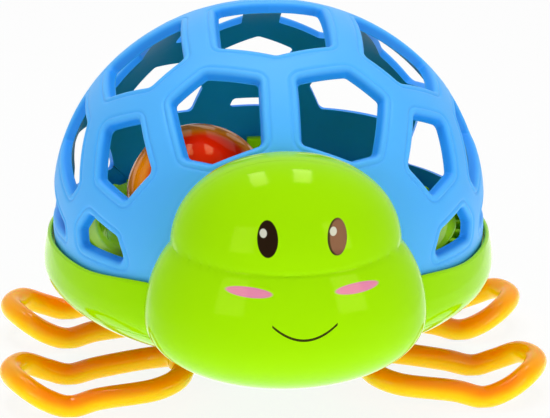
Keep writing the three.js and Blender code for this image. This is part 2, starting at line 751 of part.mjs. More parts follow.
const partingDistance = headMiddle + headParting;
const headScrewSeat = headBossBack - gap;
const headScrewTip = hullRadius + headScrewGrip;
const headLimit = 2 * frontReach;
const beforeParting = block([-headLimit, -headLimit, 0], [headLimit, -partingDistance - gap / 2, headLimit]);
const behindParting = block([-headLimit, -partingDistance + gap / 2, 0], [headLimit, 0, headLimit]);
const headSkin = headForm(0);
const headHollow = headForm(headWall);

function makeHeadFront() {
  return headSkin.subtract(headHollow).intersect(beforeParting);
}

function makeHeadBack() {
  let back = headSkin.subtract(headHollow).intersect(behindParting);
  headScrewPlaces.forEach((across) => {
    const post = forwardCylinder(bossRadius, across, headScrewHeight, 0, headScrewTip + gap + bossWall);
    back = back.add(post.intersect(headSkin));
    back = back.subtract(forwardCylinder(screwHole, across, headScrewHeight, 0, headScrewTip + gap));
  });
  return back;
}

// Ball: two transparent halves with a lap joint, round the ball's own middle
const lapMiddle = ballRadius - ballLap;

function makeBallUpper() {
  const start = THREE.MathUtils.radToDeg(Math.asin(gap / 2 / ballRadius));
  const lapTop = ballLapHeight + gap;
  const inner = THREE.MathUtils.radToDeg(Math.asin(lapTop / ballInside));
  const profile = [
    ...arcPoints([0, 0], [ballRadius, ballRadius], 90, start, ballBands),
    [lapMiddle, gap / 2],
    [lapMiddle, lapTop],
    ...arcPoints([0, 0], [ballInside, ballInside], inner, 90, ballBands),
  ];
  return revolve(onAxis(profile), ballSides);
}

function makeBallLower() {
  const start = THREE.MathUtils.radToDeg(Math.asin(gap / 2 / ballRadius));
  const inner = THREE.MathUtils.radToDeg(Math.asin(ballLapHeight / ballInside));
  const profile = [
    ...arcPoints([0, 0], [ballRadius, ballRadius], -90, -start, ballBands),
    [lapMiddle - gap, -gap / 2],
    [lapMiddle - gap, ballLapHeight],
    ...arcPoints([0, 0], [ballInside, ballInside], inner, -90, ballBands),
  ];
  return revolve(onAxis(profile), ballSides);
}

// The first and last points of a profile set exactly on the axis
function onAxis(profile) {
  const closed = profile.map(([radius, height]) => [radius, height]);
  closed[0][0] = 0;
  closed.at(-1)[0] = 0;
  return closed;
}

// Beads lie in the bottom of the ball: one in the middle and a ring of others round it
function beadPlaces() {
  const sideSag = ballInside * (1 - Math.cos(Math.PI / ballSides));
  const bandSag = ballInside * (1 - Math.cos(Math.PI / 4 / ballBands));
  const reach = ballInside - sideSag - bandSag - gap / 2 - beadDiameter / 2;
  const ring = 2 * Math.asin((beadDiameter + gap) / 2 / reach);
  const places = [new THREE.Vector3(0, 0, -reach)];
  for (let i = 0; i < beadCount; i += 1) {
    const turn = (2 * Math.PI * i) / beadCount;
    places.push(new THREE.Vector3().setFromSphericalCoords(reach, Math.PI - ring, turn).applyAxisAngle(
      new THREE.Vector3(1, 0, 0), Math.PI / 2));
  }
  return places;
}

// A pan-head screw pointing up, with the underside of its head at z = 0
function screwGeometry(length) {
  const [shank, head] = [screwShank / 2, screwHead / 2];
  return geometryOf(revolve([
    [0, -screwHeadHeight],
    [screwCrown * head, -screwHeadHeight],
    [head, -screwShoulder * screwHeadHeight],
    [head, 0],
    [shank, 0],
    [shank, length - screwShank],
    [0, length],
  ], screwSides));
}

// Assembly
const toy = new THREE.Group();
toy.position.y = (frontReach - hullRadius) / 2;

toy.add(piece('shell_lattice', geometryOf(makeShell()), shellFinish));
toy.add(piece('hull_upper', geometryOf(makeHullUpper()), greenFinish));
toy.add(piece('hull_lower', geometryOf(makeHullLower()), greenFinish));
toy.add(piece('deck', geometryOf(makeDeck()), greenFinish));
toy.add(piece('leg_plate', geometryOf(makePlate()), greenFinish));
toy.add(piece('head_front', geometryOf(makeHeadFront()), greenFinish));
toy.add(piece('head_back', geometryOf(makeHeadBack()), greenFinish));

[['front', -1], ['rear', 1]].forEach(([endName, end]) => {
  [['left', 1], ['right', -1]].forEach(([sideName, side]) => {
    toy.add(piece(`leg_${endName}_${sideName}`, geometryOf(makeLeg(side, end)), legFinish));
  });
});

const rattle = new THREE.Group();
const bearing = THREE.MathUtils.degToRad(ballBearing);
rattle.position.set(-ballOrbit * Math.sin(bearing), -ballOrbit * Math.cos(bearing), ballHeight);
rattle.add(piece('ball_upper', geometryOf(makeBallUpper()), ballFinish));
rattle.add(piece('ball_lower', geometryOf(makeBallLower()), ballFinish));
const beadGeometry = geometryOf(solidOf(new THREE.IcosahedronGeometry(beadDiameter / 2, 1)));
beadPlaces().forEach((place, i) => {
  const bead = piece(`bead_${i + 1}`, beadGeometry, beadFinish);
  bead.position.copy(place);
  rattle.add(bead);
});
toy.add(rattle);

function addScrews(name, length, places) {
  const geometry = screwGeometry(length);
  places.forEach(({ at, turn = 0 }, i) => {
    const screw = piece(`${name}_${i + 1}`, geometry, steelFinish);
    screw.position.set(...at);
    screw.rotation.x = turn;
    toy.add(screw);
  });
}

const deckScrewFoot = wellShoulder - gap;
const plateScrewFoot = plateScrewSeat - gap;
addScrews('deck_screw', deckBottom - gap - deckScrewFoot, wellPlaces.map(([x, y]) => (
  { at: [x, y, deckScrewFoot] })));
addScrews('plate_screw', plateScrewTip - plateScrewFoot, tabHolePlaces.map(([x, y]) => (
  { at: [x, y, plateScrewFoot] })));
addScrews('head_screw', headScrewTip - headScrewSeat, headScrewPlaces.map((across) => (
  { at: [across, -headScrewSeat, headScrewHeight], turn: Math.PI / 2 })));

export default toy;
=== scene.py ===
import bpy
import bmesh
import math
from mathutils import Matrix, Vector


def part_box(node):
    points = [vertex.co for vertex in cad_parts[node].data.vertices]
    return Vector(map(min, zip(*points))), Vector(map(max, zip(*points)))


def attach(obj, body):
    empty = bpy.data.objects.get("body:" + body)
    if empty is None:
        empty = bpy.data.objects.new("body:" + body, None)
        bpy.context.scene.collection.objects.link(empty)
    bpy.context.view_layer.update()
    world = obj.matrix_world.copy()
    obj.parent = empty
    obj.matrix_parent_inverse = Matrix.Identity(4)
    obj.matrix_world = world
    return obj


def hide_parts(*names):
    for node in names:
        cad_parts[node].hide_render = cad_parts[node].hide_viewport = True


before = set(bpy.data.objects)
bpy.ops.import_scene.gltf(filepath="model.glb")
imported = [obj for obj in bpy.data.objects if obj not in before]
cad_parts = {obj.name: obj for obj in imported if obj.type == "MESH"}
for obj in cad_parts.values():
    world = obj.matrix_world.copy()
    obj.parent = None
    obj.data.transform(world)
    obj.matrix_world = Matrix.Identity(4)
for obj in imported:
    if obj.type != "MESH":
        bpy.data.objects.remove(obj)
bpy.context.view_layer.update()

mm = 0.001
hullLow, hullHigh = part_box("hull_lower")
axisY = (hullLow[1] + hullHigh[1]) / 2  # the dome's upright axis in the shared frame
scene = bpy.context.scene


def spot(x, y, z):
    return Vector((x * mm, y * mm + axisY, z * mm))  # toy millimetres to the shared frame


def boxMiddle(node):
    # a node's middle in toy millimetres
    low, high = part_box(node)
    x, y, z = ((a + b) / 2 for a, b in zip(low, high))
    return x / mm, (y - axisY) / mm, z / mm


# Camera at the photograph's angle
cameraView = dict(azimuth=-4.17, elevation=18.75, roll=-0.25, distance=1.05, focal=3244.5,
                  aimX=268.4, aimY=213.5, width=550, height=418, sensor=36.0, domeHeight=51,
                  clipNear=0.05, clipFar=20)


def makeCamera(v):
    a, e, r = (math.radians(v[k]) for k in ("azimuth", "elevation", "roll"))
    back = Vector((math.sin(a) * math.cos(e), -math.cos(a) * math.cos(e), math.sin(e)))
    right = Vector((math.cos(a), math.sin(a), 0))
    up = back.cross(right)
    right, up = math.cos(r) * right - math.sin(r) * up, math.sin(r) * right + math.cos(r) * up
    offX = (v["aimX"] - v["width"] / 2) / v["focal"]  # where the dome's middle sits in the picture
    offY = (v["height"] / 2 - v["aimY"]) / v["focal"]
    place = spot(0, 0, v["domeHeight"]) + back * v["distance"]
    back = (back + right * offX + up * offY).normalized()
    right = (right - back * right.dot(back)).normalized()
    data = bpy.data.cameras.new("photoCamera")
    data.sensor_fit = "HORIZONTAL"
    data.sensor_width = v["sensor"]
    data.lens = v["focal"] / v["width"] * v["sensor"]
    data.clip_start, data.clip_end = v["clipNear"], v["clipFar"]
    camera = bpy.data.objects.new("photoCamera", data)
    scene.collection.objects.link(camera)
    turn = Matrix((right, back.cross(right), back)).transposed()
    camera.matrix_world = Matrix.Translation(place) @ turn.to_4x4()
    scene.camera = camera


makeCamera(cameraView)
print("camera set")


# Mesh helpers
mergeGap, sliver = 2e-6, 1e-7  # metres
axisGap = 1e-6  # millimetres from the axis that count as on it
softAngle = 35.0  # degrees; sharper edges stay crisp
rodSides = 28
bevelSteps = 3


def joinRows(bm, low, high, closed=True):
    # quads between two made rows
    count = len(low)
    for i in range(count if closed else count - 1):
        j = (i + 1) % count
        bm.faces.new((low[i], low[j], high[j], high[i]))


def ringFaces(bm, rows, closed):
    # quads between rows of points, given in toy millimetres
    made = [[bm.verts.new(spot(*p)) for p in row] for row in rows]
    for low, high in zip(made, made[1:]):
        joinRows(bm, low, high, closed)
    return made


def fanFaces(bm, row, tip):
    # triangles from a closed row of made points to one tip
    end = bm.verts.new(spot(*tip))
    for i, v in enumerate(row):
        bm.faces.new((v, row[(i + 1) % len(row)], end))


def cappedPrism(bm, outline, low, high):
    # an upright prism over a closed outline; gives its two end faces
    made = ringFaces(bm, [[(x, y, z) for x, y in outline] for z in (low, high)], True)
    return [bm.faces.new(row) for row in made]


def roundEdges(bm, edges, width):
    bmesh.ops.bevel(bm, geom=edges, offset=width * mm, segments=bevelSteps, profile=0.5, affect="EDGES")


def smoothFaces(mesh, sharp):
    for face in mesh.polygons:
        face.use_smooth = True
    mesh.set_sharp_from_angle(angle=math.radians(sharp))


def pieceFrom(bm, name, sharp=softAngle):
    bmesh.ops.remove_doubles(bm, verts=bm.verts, dist=mergeGap)
    bmesh.ops.dissolve_degenerate(bm, edges=bm.edges, dist=sliver)
    bmesh.ops.recalc_face_normals(bm, faces=bm.faces)
    mesh = bpy.data.meshes.new(name)
    bm.to_mesh(mesh)
    bm.free()
    smoothFaces(mesh, sharp)
    piece = bpy.data.objects.new(name, mesh)
    scene.collection.objects.link(piece)
    return piece


def asTurned(x, y, z):
    return x, y, z


def revolved(profile, sides, name, warp=asTurned, sharp=softAngle):
    # profile of (radius, height); a point on the axis closes that end
    bm = bmesh.new()
    inner = [p for p in profile if p[0] > axisGap]
    angles = [2 * math.pi * i / sides for i in range(sides)]
    rows = [[warp(r * math.sin(a), -r * math.cos(a), z) for a in angles] for r, z in inner]
    made = ringFaces(bm, rows, True)
    for (radius, height), row in ((profile[0], made[0]), (profile[-1], made[-1])):
        if radius <= axisGap:
            fanFaces(bm, row, warp(0, 0, height))
    if len(inner) == len(profile):  # a ring: its last row joins the first
        joinRows(bm, made[-1], made[0])
    return pieceFrom(bm, name, sharp)


def bakeModifiers(piece, sharp=softAngle):
    # the evaluated mesh takes the place of the modifiers
    bpy.context.view_layer.update()
    graph = bpy.context.evaluated_depsgraph_get()
    mesh = bpy.data.meshes.new_from_object(piece.evaluated_get(graph))
    piece.modifiers.clear()
    old = piece.data
    piece.data = mesh
    bpy.data.meshes.remove(old)
    smoothFaces(mesh, sharp)


def solidWith(piece, others, operation, sharp=softAngle):
    # joins or cuts a piece with helper solids, which are then removed
    for other in others:
        step = piece.modifiers.new("shape", "BOOLEAN")
        step.operation = operation
        step.solver = "EXACT"
        step.object = other
    bakeModifiers(piece, sharp)
    for other in others:
        data = other.data
        bpy.data.objects.remove(other)
        bpy.data.meshes.remove(data)


def rod(x, y, radius, bottom, top):
    bm = bmesh.new()
    angles = [2 * math.pi * i / rodSides for i in range(rodSides)]
    outline = [(x + radius * math.cos(a), y + radius * math.sin(a)) for a in angles]
    cappedPrism(bm, outline, bottom, top)
    return pieceFrom(bm, "rod")


def rods(places, radius, bottom, top):
    return [rod(*place, radius, bottom, top) for place in places]


def finishPiece(piece, material, body, slotName, *nodes):
    piece.data.materials.clear()
    piece.data.materials.append(material)
    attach(piece, body)
    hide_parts(*nodes)


def ease(low, high, value):
    t = min(1.0, max(0.0, (value - low) / (high - low)))
    return t * t * (3 - 2 * t)


# Materials
def srgb(r, g, b):
    def one(c):
        c /= 255
        return c / 12.92 if c <= 0.04045 else ((c + 0.055) / 1.055) ** 2.4
    return (one(r), one(g), one(b), 1)


def addNode(tree, kind, **values):
    node = tree.nodes.new(kind)
    for key, value in values.items():
        setattr(node, key, value)
    return node


def groupSockets(tree, inputs, outputs):
    kinds = {"c": "NodeSocketColor", "f": "NodeSocketFloat", "v": "NodeSocketVector"}
    for name, kind, value in inputs:
        socket = tree.interface.new_socket(name=name, in_out="INPUT", socket_type=kinds[kind])
        if value is not None:
            socket.default_value = value
    for name, kind in outputs:
        tree.interface.new_socket(name=name, in_out="OUTPUT", socket_type=kinds[kind])
    return addNode(tree, "NodeGroupInput"), addNode(tree, "NodeGroupOutput")


def calcFor(tree):
    # math nodes of one tree, fed by plain numbers or by other nodes
    def calc(operation, *values):
        node = addNode(tree, "ShaderNodeMath", operation=operation)
        for socket, value in zip(node.inputs, values):
            if isinstance(value, (int, float)):
                socket.default_value = value
            else:
                tree.links.new(value, socket)
        return node.outputs[0]

    return calc


underColour, overColour, mixedColour = 6, 7, 2  # the colour sockets of a Mix node


def layColour(tree, share, under, over):
    # one colour over another by a share from 0 to 1
    mix = addNode(tree, "ShaderNodeMix", data_type="RGBA")
    tree.links.new(share, mix.inputs["Factor"])
    tree.links.new(under, mix.inputs[underColour])
    if isinstance(over, tuple):
        mix.inputs[overColour].default_value = over
    else:
        tree.links.new(over, mix.inputs[overColour])
    return mix.outputs[mixedColour]


def shareBetween(tree, value, start, end):
    # 0 at the start of a range of values, 1 at its end
    share = addNode(tree, "ShaderNodeMapRange")
    share.inputs["From Min"].default_value = start
    share.inputs["From Max"].default_value = end
    tree.links.new(value, share.inputs["Value"])
    return share.outputs[0]


def noiseAt(tree, place, scale, detail):
    noise = addNode(tree, "ShaderNodeTexNoise")
    noise.inputs["Detail"].default_value = detail
    tree.links.new(place, noise.inputs["Vector"])
    tree.links.new(scale, noise.inputs["Scale"])
    return noise.outputs["Fac"]


def makeMouldedSkin():
    # colour drift, roughness drift and fine grain of a moulded surface
    tree = bpy.data.node_groups.new("mouldedSkin", "ShaderNodeTree")
    inputs = [("Place", "v", None), ("Colour", "c", (0.8, 0.8, 0.8, 1)),
              ("Drift Colour", "c", (0.7, 0.7, 0.7, 1)), ("Drift Scale", "f", 60.0), ("Drift", "f", 0.3),
              ("Roughness", "f", 0.4), ("Roughness Drift", "f", 0.1), ("Grain Scale", "f", 2500.0)]
    put, take = groupSockets(tree, inputs, [("Colour", "c"), ("Roughness", "f"), ("Grain", "f")])
    given = put.outputs
    calc = calcFor(tree)
    wide = noiseAt(tree, given["Place"], given["Drift Scale"], 3.0)
    fine = noiseAt(tree, given["Place"], given["Grain Scale"], 2.0)
    share = calc("MULTIPLY", wide, given["Drift"])
    colour = layColour(tree, share, given["Colour"], given["Drift Colour"])
    aside = calc("SUBTRACT", wide, 0.5)
    roughness = calc("MULTIPLY_ADD", aside, given["Roughness Drift"], given["Roughness"])
    for key, value in (("Colour", colour), ("Roughness", roughness), ("Grain", fine)):
        tree.links.new(value, take.inputs[key])
    return tree


def makeInkAndReflectionSpot():
    # mask of an oval on the face, printed or a painted reflection, in the head's side and height coordinates
    tree = bpy.data.node_groups.new("inkAndReflectionSpot", "ShaderNodeTree")
    inputs = [("Place", "v", None), ("Side", "f", 0.0), ("Height", "f", 0.0), ("Half Width", "f", 0.003),
              ("Half Height", "f", 0.005), ("Tilt", "f", 0.0), ("Edge", "f", 0.08)]
    put, take = groupSockets(tree, inputs, [("Mask", "f")])
    given = put.outputs
    calc = calcFor(tree)
    split = addNode(tree, "ShaderNodeSeparateXYZ")
    tree.links.new(given["Place"], split.inputs[0])
    across = calc("SUBTRACT", split.outputs[0], given["Side"])
    above = calc("SUBTRACT", split.outputs[2], given["Height"])
    cosine, sine = calc("COSINE", given["Tilt"]), calc("SINE", given["Tilt"])
    along = calc("ADD", calc("MULTIPLY", across, cosine), calc("MULTIPLY", above, sine))
    over = calc("SUBTRACT", calc("MULTIPLY", above, cosine), calc("MULTIPLY", across, sine))
    first = calc("POWER", calc("ABSOLUTE", calc("DIVIDE", along, given["Half Width"])), 2.0)
    second = calc("POWER", calc("ABSOLUTE", calc("DIVIDE", over, given["Half Height"])), 2.0)
    reach = calc("SQRT", calc("ADD", first, second))
    inside = calc("DIVIDE", calc("SUBTRACT", 1.0, reach), given["Edge"])
    mask = addNode(tree, "ShaderNodeClamp")
    tree.links.new(calc("ADD", inside, 0.5), mask.inputs["Value"])
    tree.links.new(mask.outputs[0], take.inputs["Mask"])
    return tree


mouldedSkin = makeMouldedSkin()
inkAndReflectionSpot = makeInkAndReflectionSpot()
skinKeys = ("Colour", "Drift Colour", "Drift Scale", "Drift", "Roughness", "Roughness Drift", "Grain Scale")
bumpDepth = 0.0001


def startFinish(name, v):
    # a Principled material with the moulded skin in front of it
    material = bpy.data.materials.new(name)
    material.use_nodes = True
    tree = material.node_tree
    shader = tree.nodes["Principled BSDF"]
    place = addNode(tree, "ShaderNodeTexCoord")
    skin = addNode(tree, "ShaderNodeGroup", node_tree=mouldedSkin)
    tree.links.new(place.outputs["Object"], skin.inputs["Place"])
    for key in skinKeys:
        skin.inputs[key].default_value = v[key]
    bump = addNode(tree, "ShaderNodeBump")
    bump.inputs["Strength"].default_value = v["bump"]
    bump.inputs["Distance"].default_value = bumpDepth
    tree.links.new(skin.outputs["Grain"], bump.inputs["Height"])
    tree.links.new(skin.outputs["Colour"], shader.inputs["Base Color"])
    tree.links.new(skin.outputs["Roughness"], shader.inputs["Roughness"])
    tree.links.new(bump.outputs["Normal"], shader.inputs["Normal"])
    for socket, value in v["shader"].items():
        shader.inputs[socket].default_value = value
    return material, tree, shader, skin, place


shellFinish = {
    "Colour": srgb(84, 182, 255), "Drift Colour": srgb(66, 171, 252), "Drift Scale": 45.0, "Drift": 0.5,
    "Roughness": 0.46, "Roughness Drift": 0.12, "Grain Scale": 3000.0, "bump": 0.06,
    # painted shade: wallColour on the window walls, insideColour on the shell's inside face
    "wallColour": srgb(34, 152, 250), "wallRange": (0.06, 0.4),
    "insideColour": srgb(2, 138, 212), "insideRange": (0.9, 0.985),
    "shader": {"Specular IOR Level": 0.22, "Subsurface Weight": 0.12, "Subsurface Scale": 0.002,
               "Subsurface Radius": (0.3, 0.6, 1.0)}}
greenFinish = {
    "Colour": srgb(160, 226, 0), "Drift Colour": srgb(153, 219, 0), "Drift Scale": 30.0, "Drift": 0.5,
    "Roughness": 0.08, "Roughness Drift": 0.03, "Grain Scale": 900.0, "bump": 0.012,
    "shader": {"Specular IOR Level": 0.13, "Specular Tint": srgb(255, 225, 120), "Subsurface Weight": 0.08,
               "Subsurface Scale": 0.002, "Subsurface Radius": (0.7, 1.0, 0.15)}}
ballFinish = {
    "Colour": srgb(255, 150, 0), "Drift Colour": srgb(255, 132, 0), "Drift Scale": 50.0, "Drift": 0.3,
    "Roughness": 0.04, "Roughness Drift": 0.02, "Grain Scale": 300.0, "bump": 0.01,
    # painted shade: the red of the ball's forward side
    "paintedShadeRed": srgb(232, 34, 0),
    "shader": {"Transmission Weight": 0.06, "IOR": 1.25, "Specular Tint": srgb(255, 190, 90),
               "Sheen Weight": 0.6, "Sheen Roughness": 0.3, "Sheen Tint": srgb(255, 150, 0)}}
legFinish = {
    "Colour": srgb(255, 118, 0), "Drift Colour": srgb(255, 106, 0), "Drift Scale": 70.0, "Drift": 0.6,
    "Roughness": 0.06, "Roughness Drift": 0.03, "Grain Scale": 500.0, "bump": 0.02,
    # painted light: yellow for light through the rubber from below
    "paintedLightColour": srgb(255, 204, 0),
    "shader": {"Specular IOR Level": 0.14, "Subsurface Weight": 0.9, "Subsurface Scale": 0.008,
               "Subsurface Radius": (1.0, 0.35, 0.02)}}
beadFinish = {
    "Colour": srgb(255, 176, 60), "Drift Colour": srgb(250, 150, 40), "Drift Scale": 200.0, "Drift": 0.5,
    "Roughness": 0.3, "Roughness Drift": 0.1, "Grain Scale": 1500.0, "bump": 0.02,
    "shader": {"Specular IOR Level": 0.5}}
steelFinish = {
    "Colour": srgb(196, 199, 204), "Drift Colour": srgb(150, 153, 158), "Drift Scale": 700.0, "Drift": 0.6,
    "Roughness": 0.34, "Roughness Drift": 0.2, "Grain Scale": 4000.0, "bump": 0.05,
    "shader": {"Metallic": 1.0}}

bodyGreen = startFinish("bodyGreen", greenFinish)[0]
beadYellow = startFinish("beadYellow", beadFinish)[0]
screwSteel = startFinish("screwSteel", steelFinish)[0]


def makeShellBlue(v):
    # painted shade: the window walls are painted a deeper blue by their depth below the outer face, and the
    # inside face a darker blue
    material, tree, shader, skin, _ = startFinish("shellBlue", v)
    depth = addNode(tree, "ShaderNodeAttribute", attribute_name="wallDepth").outputs["Fac"]
    colour = skin.outputs["Colour"]
    for part in ("wall", "inside"):
        share = shareBetween(tree, depth, *v[part + "Range"])
        colour = layColour(tree, share, colour, v[part + "Colour"])
    tree.links.new(colour, shader.inputs["Base Color"])
    return material


def makeBallAmber(v):
    # amber plastic with a painted red side: painted shade for the darker look straight through the clear wall
    material, tree, shader, skin, _ = startFinish("ballAmber", v)
    paintedShade = addNode(tree, "ShaderNodeAttribute", attribute_name="paintedShadeSide").outputs["Fac"]
    colour = layColour(tree, paintedShade, skin.outputs["Colour"], v["paintedShadeRed"])
    tree.links.new(colour, shader.inputs["Base Color"])
    return material


def makeLegOrange(v):
    # clear orange rubber with painted light: yellow is painted on the lower and outer side of each strand for
    # light coming through from below
    material, tree, shader, skin, _ = startFinish("legOrange", v)
    light = addNode(tree, "ShaderNodeAttribute", attribute_name="paintedThroughLight").outputs["Fac"]
    colour = layColour(tree, light, skin.outputs["Colour"], v["paintedLightColour"])
    tree.links.new(colour, shader.inputs["Base Color"])
    return material


shellBlue = makeShellBlue(shellFinish)
ballAmber = makeBallAmber(ballFinish)
legOrange = makeLegOrange(legFinish)
print("finishes made")

# Lattice shell
shellForm = dict(radius=69.5, bulge=1.2, centre=51.0, wall=3.5, windowHalf=6.1, rimBand=9.6, corner=1.8,
                 cornerShare=0.42, rimHeight=43.1, flangeInside=58.5, flangeTop=45.6, drawnRim=-0.113,
                 rimMatch=1e-6, pointStep=1.7, arcSteps=4, panelRings=9, sharp=50)
# across a bar from its middle to the window: (half width, depth below the dome)
barSection = [(2.3, 0.0), (2.7, 0.05), (3.0, 0.17), (3.25, 0.34), (3.45, 0.38), (3.65, 0.3), (3.95, 0.12),
              (4.3, 0.06), (4.7, 0.13), (5.1, 0.36), (5.45, 0.74), (5.72, 1.22), (5.9, 1.8), (6.02, 2.4),
              (6.12, 3.0), (6.24, 3.34), (6.4, 3.45)]
# junctions of the bars as (side, forward, up) directions from the dome's middle
junctionPlaces = dict(
    crown=(0, -0.155, 0.988), frontFork=(0, 0.52, 0.854), panelTop=(0, 0.84, 0.54),
    backFork=(0, -0.655, 0.756), topFront=(0.328, 0.388, 0.861), topSide=(0.315, -0.185, 0.931),
    upperFront=(0.547, 0.467, 0.695),
    panelBrow=(0.31, 0.85, 0.43), panelShoulder=(0.48, 0.757, 0.44), panelSide=(0.674, 0.71, 0.202),
    lowerFront=(0.837, 0.472, 0.279), upperSide=(0.78, 0.255, 0.57), sideRib=(0.765, -0.17, 0.621),
    ribMiddle=(0.888, -0.175, 0.425), ribFoot=(0.947, -0.15, 0.29), lowerSide=(0.919, 0.373, 0.126),
    lowerBack=(0.958, -0.245, 0.125), topBack=(0.29, -0.735, 0.613), upperBack=(0.52, -0.585, 0.622),
    midBack=(0.17, -0.91, 0.38), rearBrow=(0.27, -0.95, 0.155), backFlank=(0.72, -0.565, 0.404),
    rearSide=(0.68, -0.715, 0.145))
rimBearings = dict(rimPanel=35, rimSide=66, rimBack=104, rimRear=141)
middleWindows = ["crown topSide topFront frontFork topFront- topSide-",
                 "backFork topBack midBack midBack- topBack-",
                 "midBack rearBrow rearBrow- midBack-"]
sideWindows = ["topSide sideRib upperSide upperFront topFront",
               "frontFork topFront upperFront panelShoulder panelBrow panelTop",
               "upperFront upperSide lowerFront panelSide panelShoulder",
               "upperSide sideRib ribMiddle ribFoot lowerSide lowerFront",
               "lowerFront lowerSide rimSide rimPanel panelSide",
               "ribFoot lowerBack rimBack rimSide lowerSide",
               "crown backFork topBack upperBack topSide",
               "topBack midBack rearBrow rearSide backFlank upperBack",
               "topSide upperBack backFlank ribMiddle sideRib",
               "backFlank rearSide rimRear rimBack lowerBack ribFoot ribMiddle"]
closedPanels = ["panelTop panelBrow panelShoulder panelSide rimPanel "
                "rimPanel- panelSide- panelShoulder- panelBrow-",
                "rearBrow rearSide rimRear rimRear- rearSide- rearBrow-"]


def domeGrowth(up):
    # the soft dome is fuller than a ball halfway up
    return shellForm["bulge"] * math.sin(math.pi * max(0.0, up))


def makeShell(v):
    radius, centre = v["radius"], v["centre"]
    inside = radius - v["wall"]
    rimUp = (v["rimHeight"] - centre) / radius
    rimRound = math.sqrt(1 - rimUp ** 2)
    bm = bmesh.new()

    def junction(name):
        plain, side = (name[:-1], -1) if name.endswith("-") else (name, 1)
        if plain in rimBearings:
            angle = math.radians(side * rimBearings[plain])
            return Vector((rimRound * math.sin(angle), -rimRound * math.cos(angle), rimUp))
        across, forward, up = junctionPlaces[plain]
        lift = (rimUp - v["drawnRim"]) * (1 - up) / (1 - v["drawnRim"])
        return Vector((side * across, -forward, up + lift)).normalized()

    def onRim(name):
        return name.rstrip("-") in rimBearings

    def otherSide(name):
        if name.endswith("-"):
            return name[:-1]
        return name if name in junctionPlaces and junctionPlaces[name][0] == 0 else name + "-"

    def outwardRing(names):
        ring = [junction(n) for n in names]
        turn, middle = Vector(), Vector()
        for i, place in enumerate(ring):
            turn += place.cross(ring[(i + 1) % len(ring)])
            middle += place
        return names if turn.dot(middle) > 0 else names[::-1]

    def barEdge(fromName, toName):
        start, end = junction(fromName), junction(toName)
        rim = onRim(fromName) and onRim(toName)
        steps = max(3 * v["arcSteps"], round(start.angle(end) * radius / v["pointStep"]))
        points = []
        for i in range(steps + 1):
            point = start.lerp(end, i / steps)
            if rim:
                flat = Vector((point.x, point.y, 0)).normalized() * rimRound
                points.append(Vector((flat.x, flat.y, rimUp)))
            else:
                points.append(point.normalized())
        normal = Vector((0, 0, 1)) if rim else start.cross(end).normalized()
        return dict(rim=rim, steps=steps, points=points, normal=normal)

    def offsetCorner(before, after, s, t):
        p, q = before["normal"], after["normal"]
        share = p.dot(q)
        inPlane = p * ((s - t * share) / (1 - share ** 2)) + q * ((t - s * share) / (1 - share ** 2))
        along = p.cross(q).normalized() * math.sqrt(max(0, 1 - inPlane.length_squared))
        middle = before["points"][-1]
        return min((inPlane + along, inPlane - along), key=lambda one: (one - middle).length)

    def insetRows(edges, half, corner):
        def offset(edge):
            band = v["rimBand"] - v["windowHalf"] + half
            return rimUp + band / radius if edge["rim"] else math.sin(half / radius)

        sharp = []
        for i, edge in enumerate(edges):
            before = edges[i - 1]
            sharp.append(offsetCorner(before, edge, offset(before), offset(edge)))
        arcs = []
        for i, place in enumerate(sharp):
            back, ahead = sharp[i - 1] - place, sharp[(i + 1) % len(sharp)] - place
            turn = back.angle(ahead) / 2
            run = min(corner / radius / math.tan(turn), v["cornerShare"] * min(back.length, ahead.length))
            bend = run * math.tan(turn)
            hub = place + (back.normalized() + ahead.normalized()).normalized() * (bend / math.sin(turn))
            arcs.append((hub, place + back.normalized() * run - hub, place + ahead.normalized() * run - hub))

        def onArc(arc, share):
            hub, first, second = arc
            return hub + first.normalized().slerp(second.normalized(), share) * first.length

        rows = []
        m = v["arcSteps"]
        for i, edge in enumerate(edges):
            arc, nextArc = arcs[i], arcs[(i + 1) % len(edges)]
            row = [onArc(arc, 0.5 + 0.5 * k / m) for k in range(m + 1)]
            straight = edge["steps"] - 2 * m
            row += [row[m].lerp(nextArc[0] + nextArc[1], k / straight) for k in range(1, straight)]
            row += [onArc(nextArc, 0.5 * k / m) for k in range(m + 1)]
            rows.append([p.normalized() for p in row])
        return rows

    def atRadius(row, r):
        made = []
        for p in row:
            reach = r + domeGrowth(p.z)
            made.append((p.x * reach, p.y * reach, p.z * reach + centre))
        return made

    def ringAt(row, r, height):
        return [(p.x / math.hypot(p.x, p.y) * r, p.y / math.hypot(p.x, p.y) * r, height) for p in row]

    footRadius = math.sqrt(inside ** 2 - (v["flangeTop"] - centre) ** 2)

    def insideRow(row):
        made = []
        for p in row:
            onFlange = abs(p.z - rimUp) < v["rimMatch"]
            made += ringAt([p], footRadius, v["flangeTop"]) if onFlange else atRadius([p], inside)
        return made

    def addFlange(edge):
        row = edge["points"][::-1]
        ringFaces(bm, [atRadius(row, radius), ringAt(row, v["flangeInside"], v["rimHeight"]),
                       ringAt(row, v["flangeInside"], v["flangeTop"]), insideRow(row)], False)

    def ringEdges(names):
        ring = outwardRing(names)
        return [barEdge(name, ring[(i + 1) % len(ring)]) for i, name in enumerate(ring)]

    def addWindow(names):
        edges = ringEdges(names)
        corners = [v["corner"] + max(0, v["windowHalf"] - half) for half, _ in barSection]
        insets = [insetRows(edges, half, corner) for (half, _), corner in zip(barSection, corners)]
        for i, edge in enumerate(edges):
            between = [a.lerp(b, 0.5).normalized() for a, b in zip(edge["points"], insets[0][i])]
            rows = [atRadius(edge["points"], radius), atRadius(between, radius)]
            rows += [atRadius(inset[i], radius - depth) for inset, (_, depth) in zip(insets, barSection)]
            rows.append(insideRow(edge["points"]))
            ringFaces(bm, rows, False)
            if edge["rim"]:
                addFlange(edge)

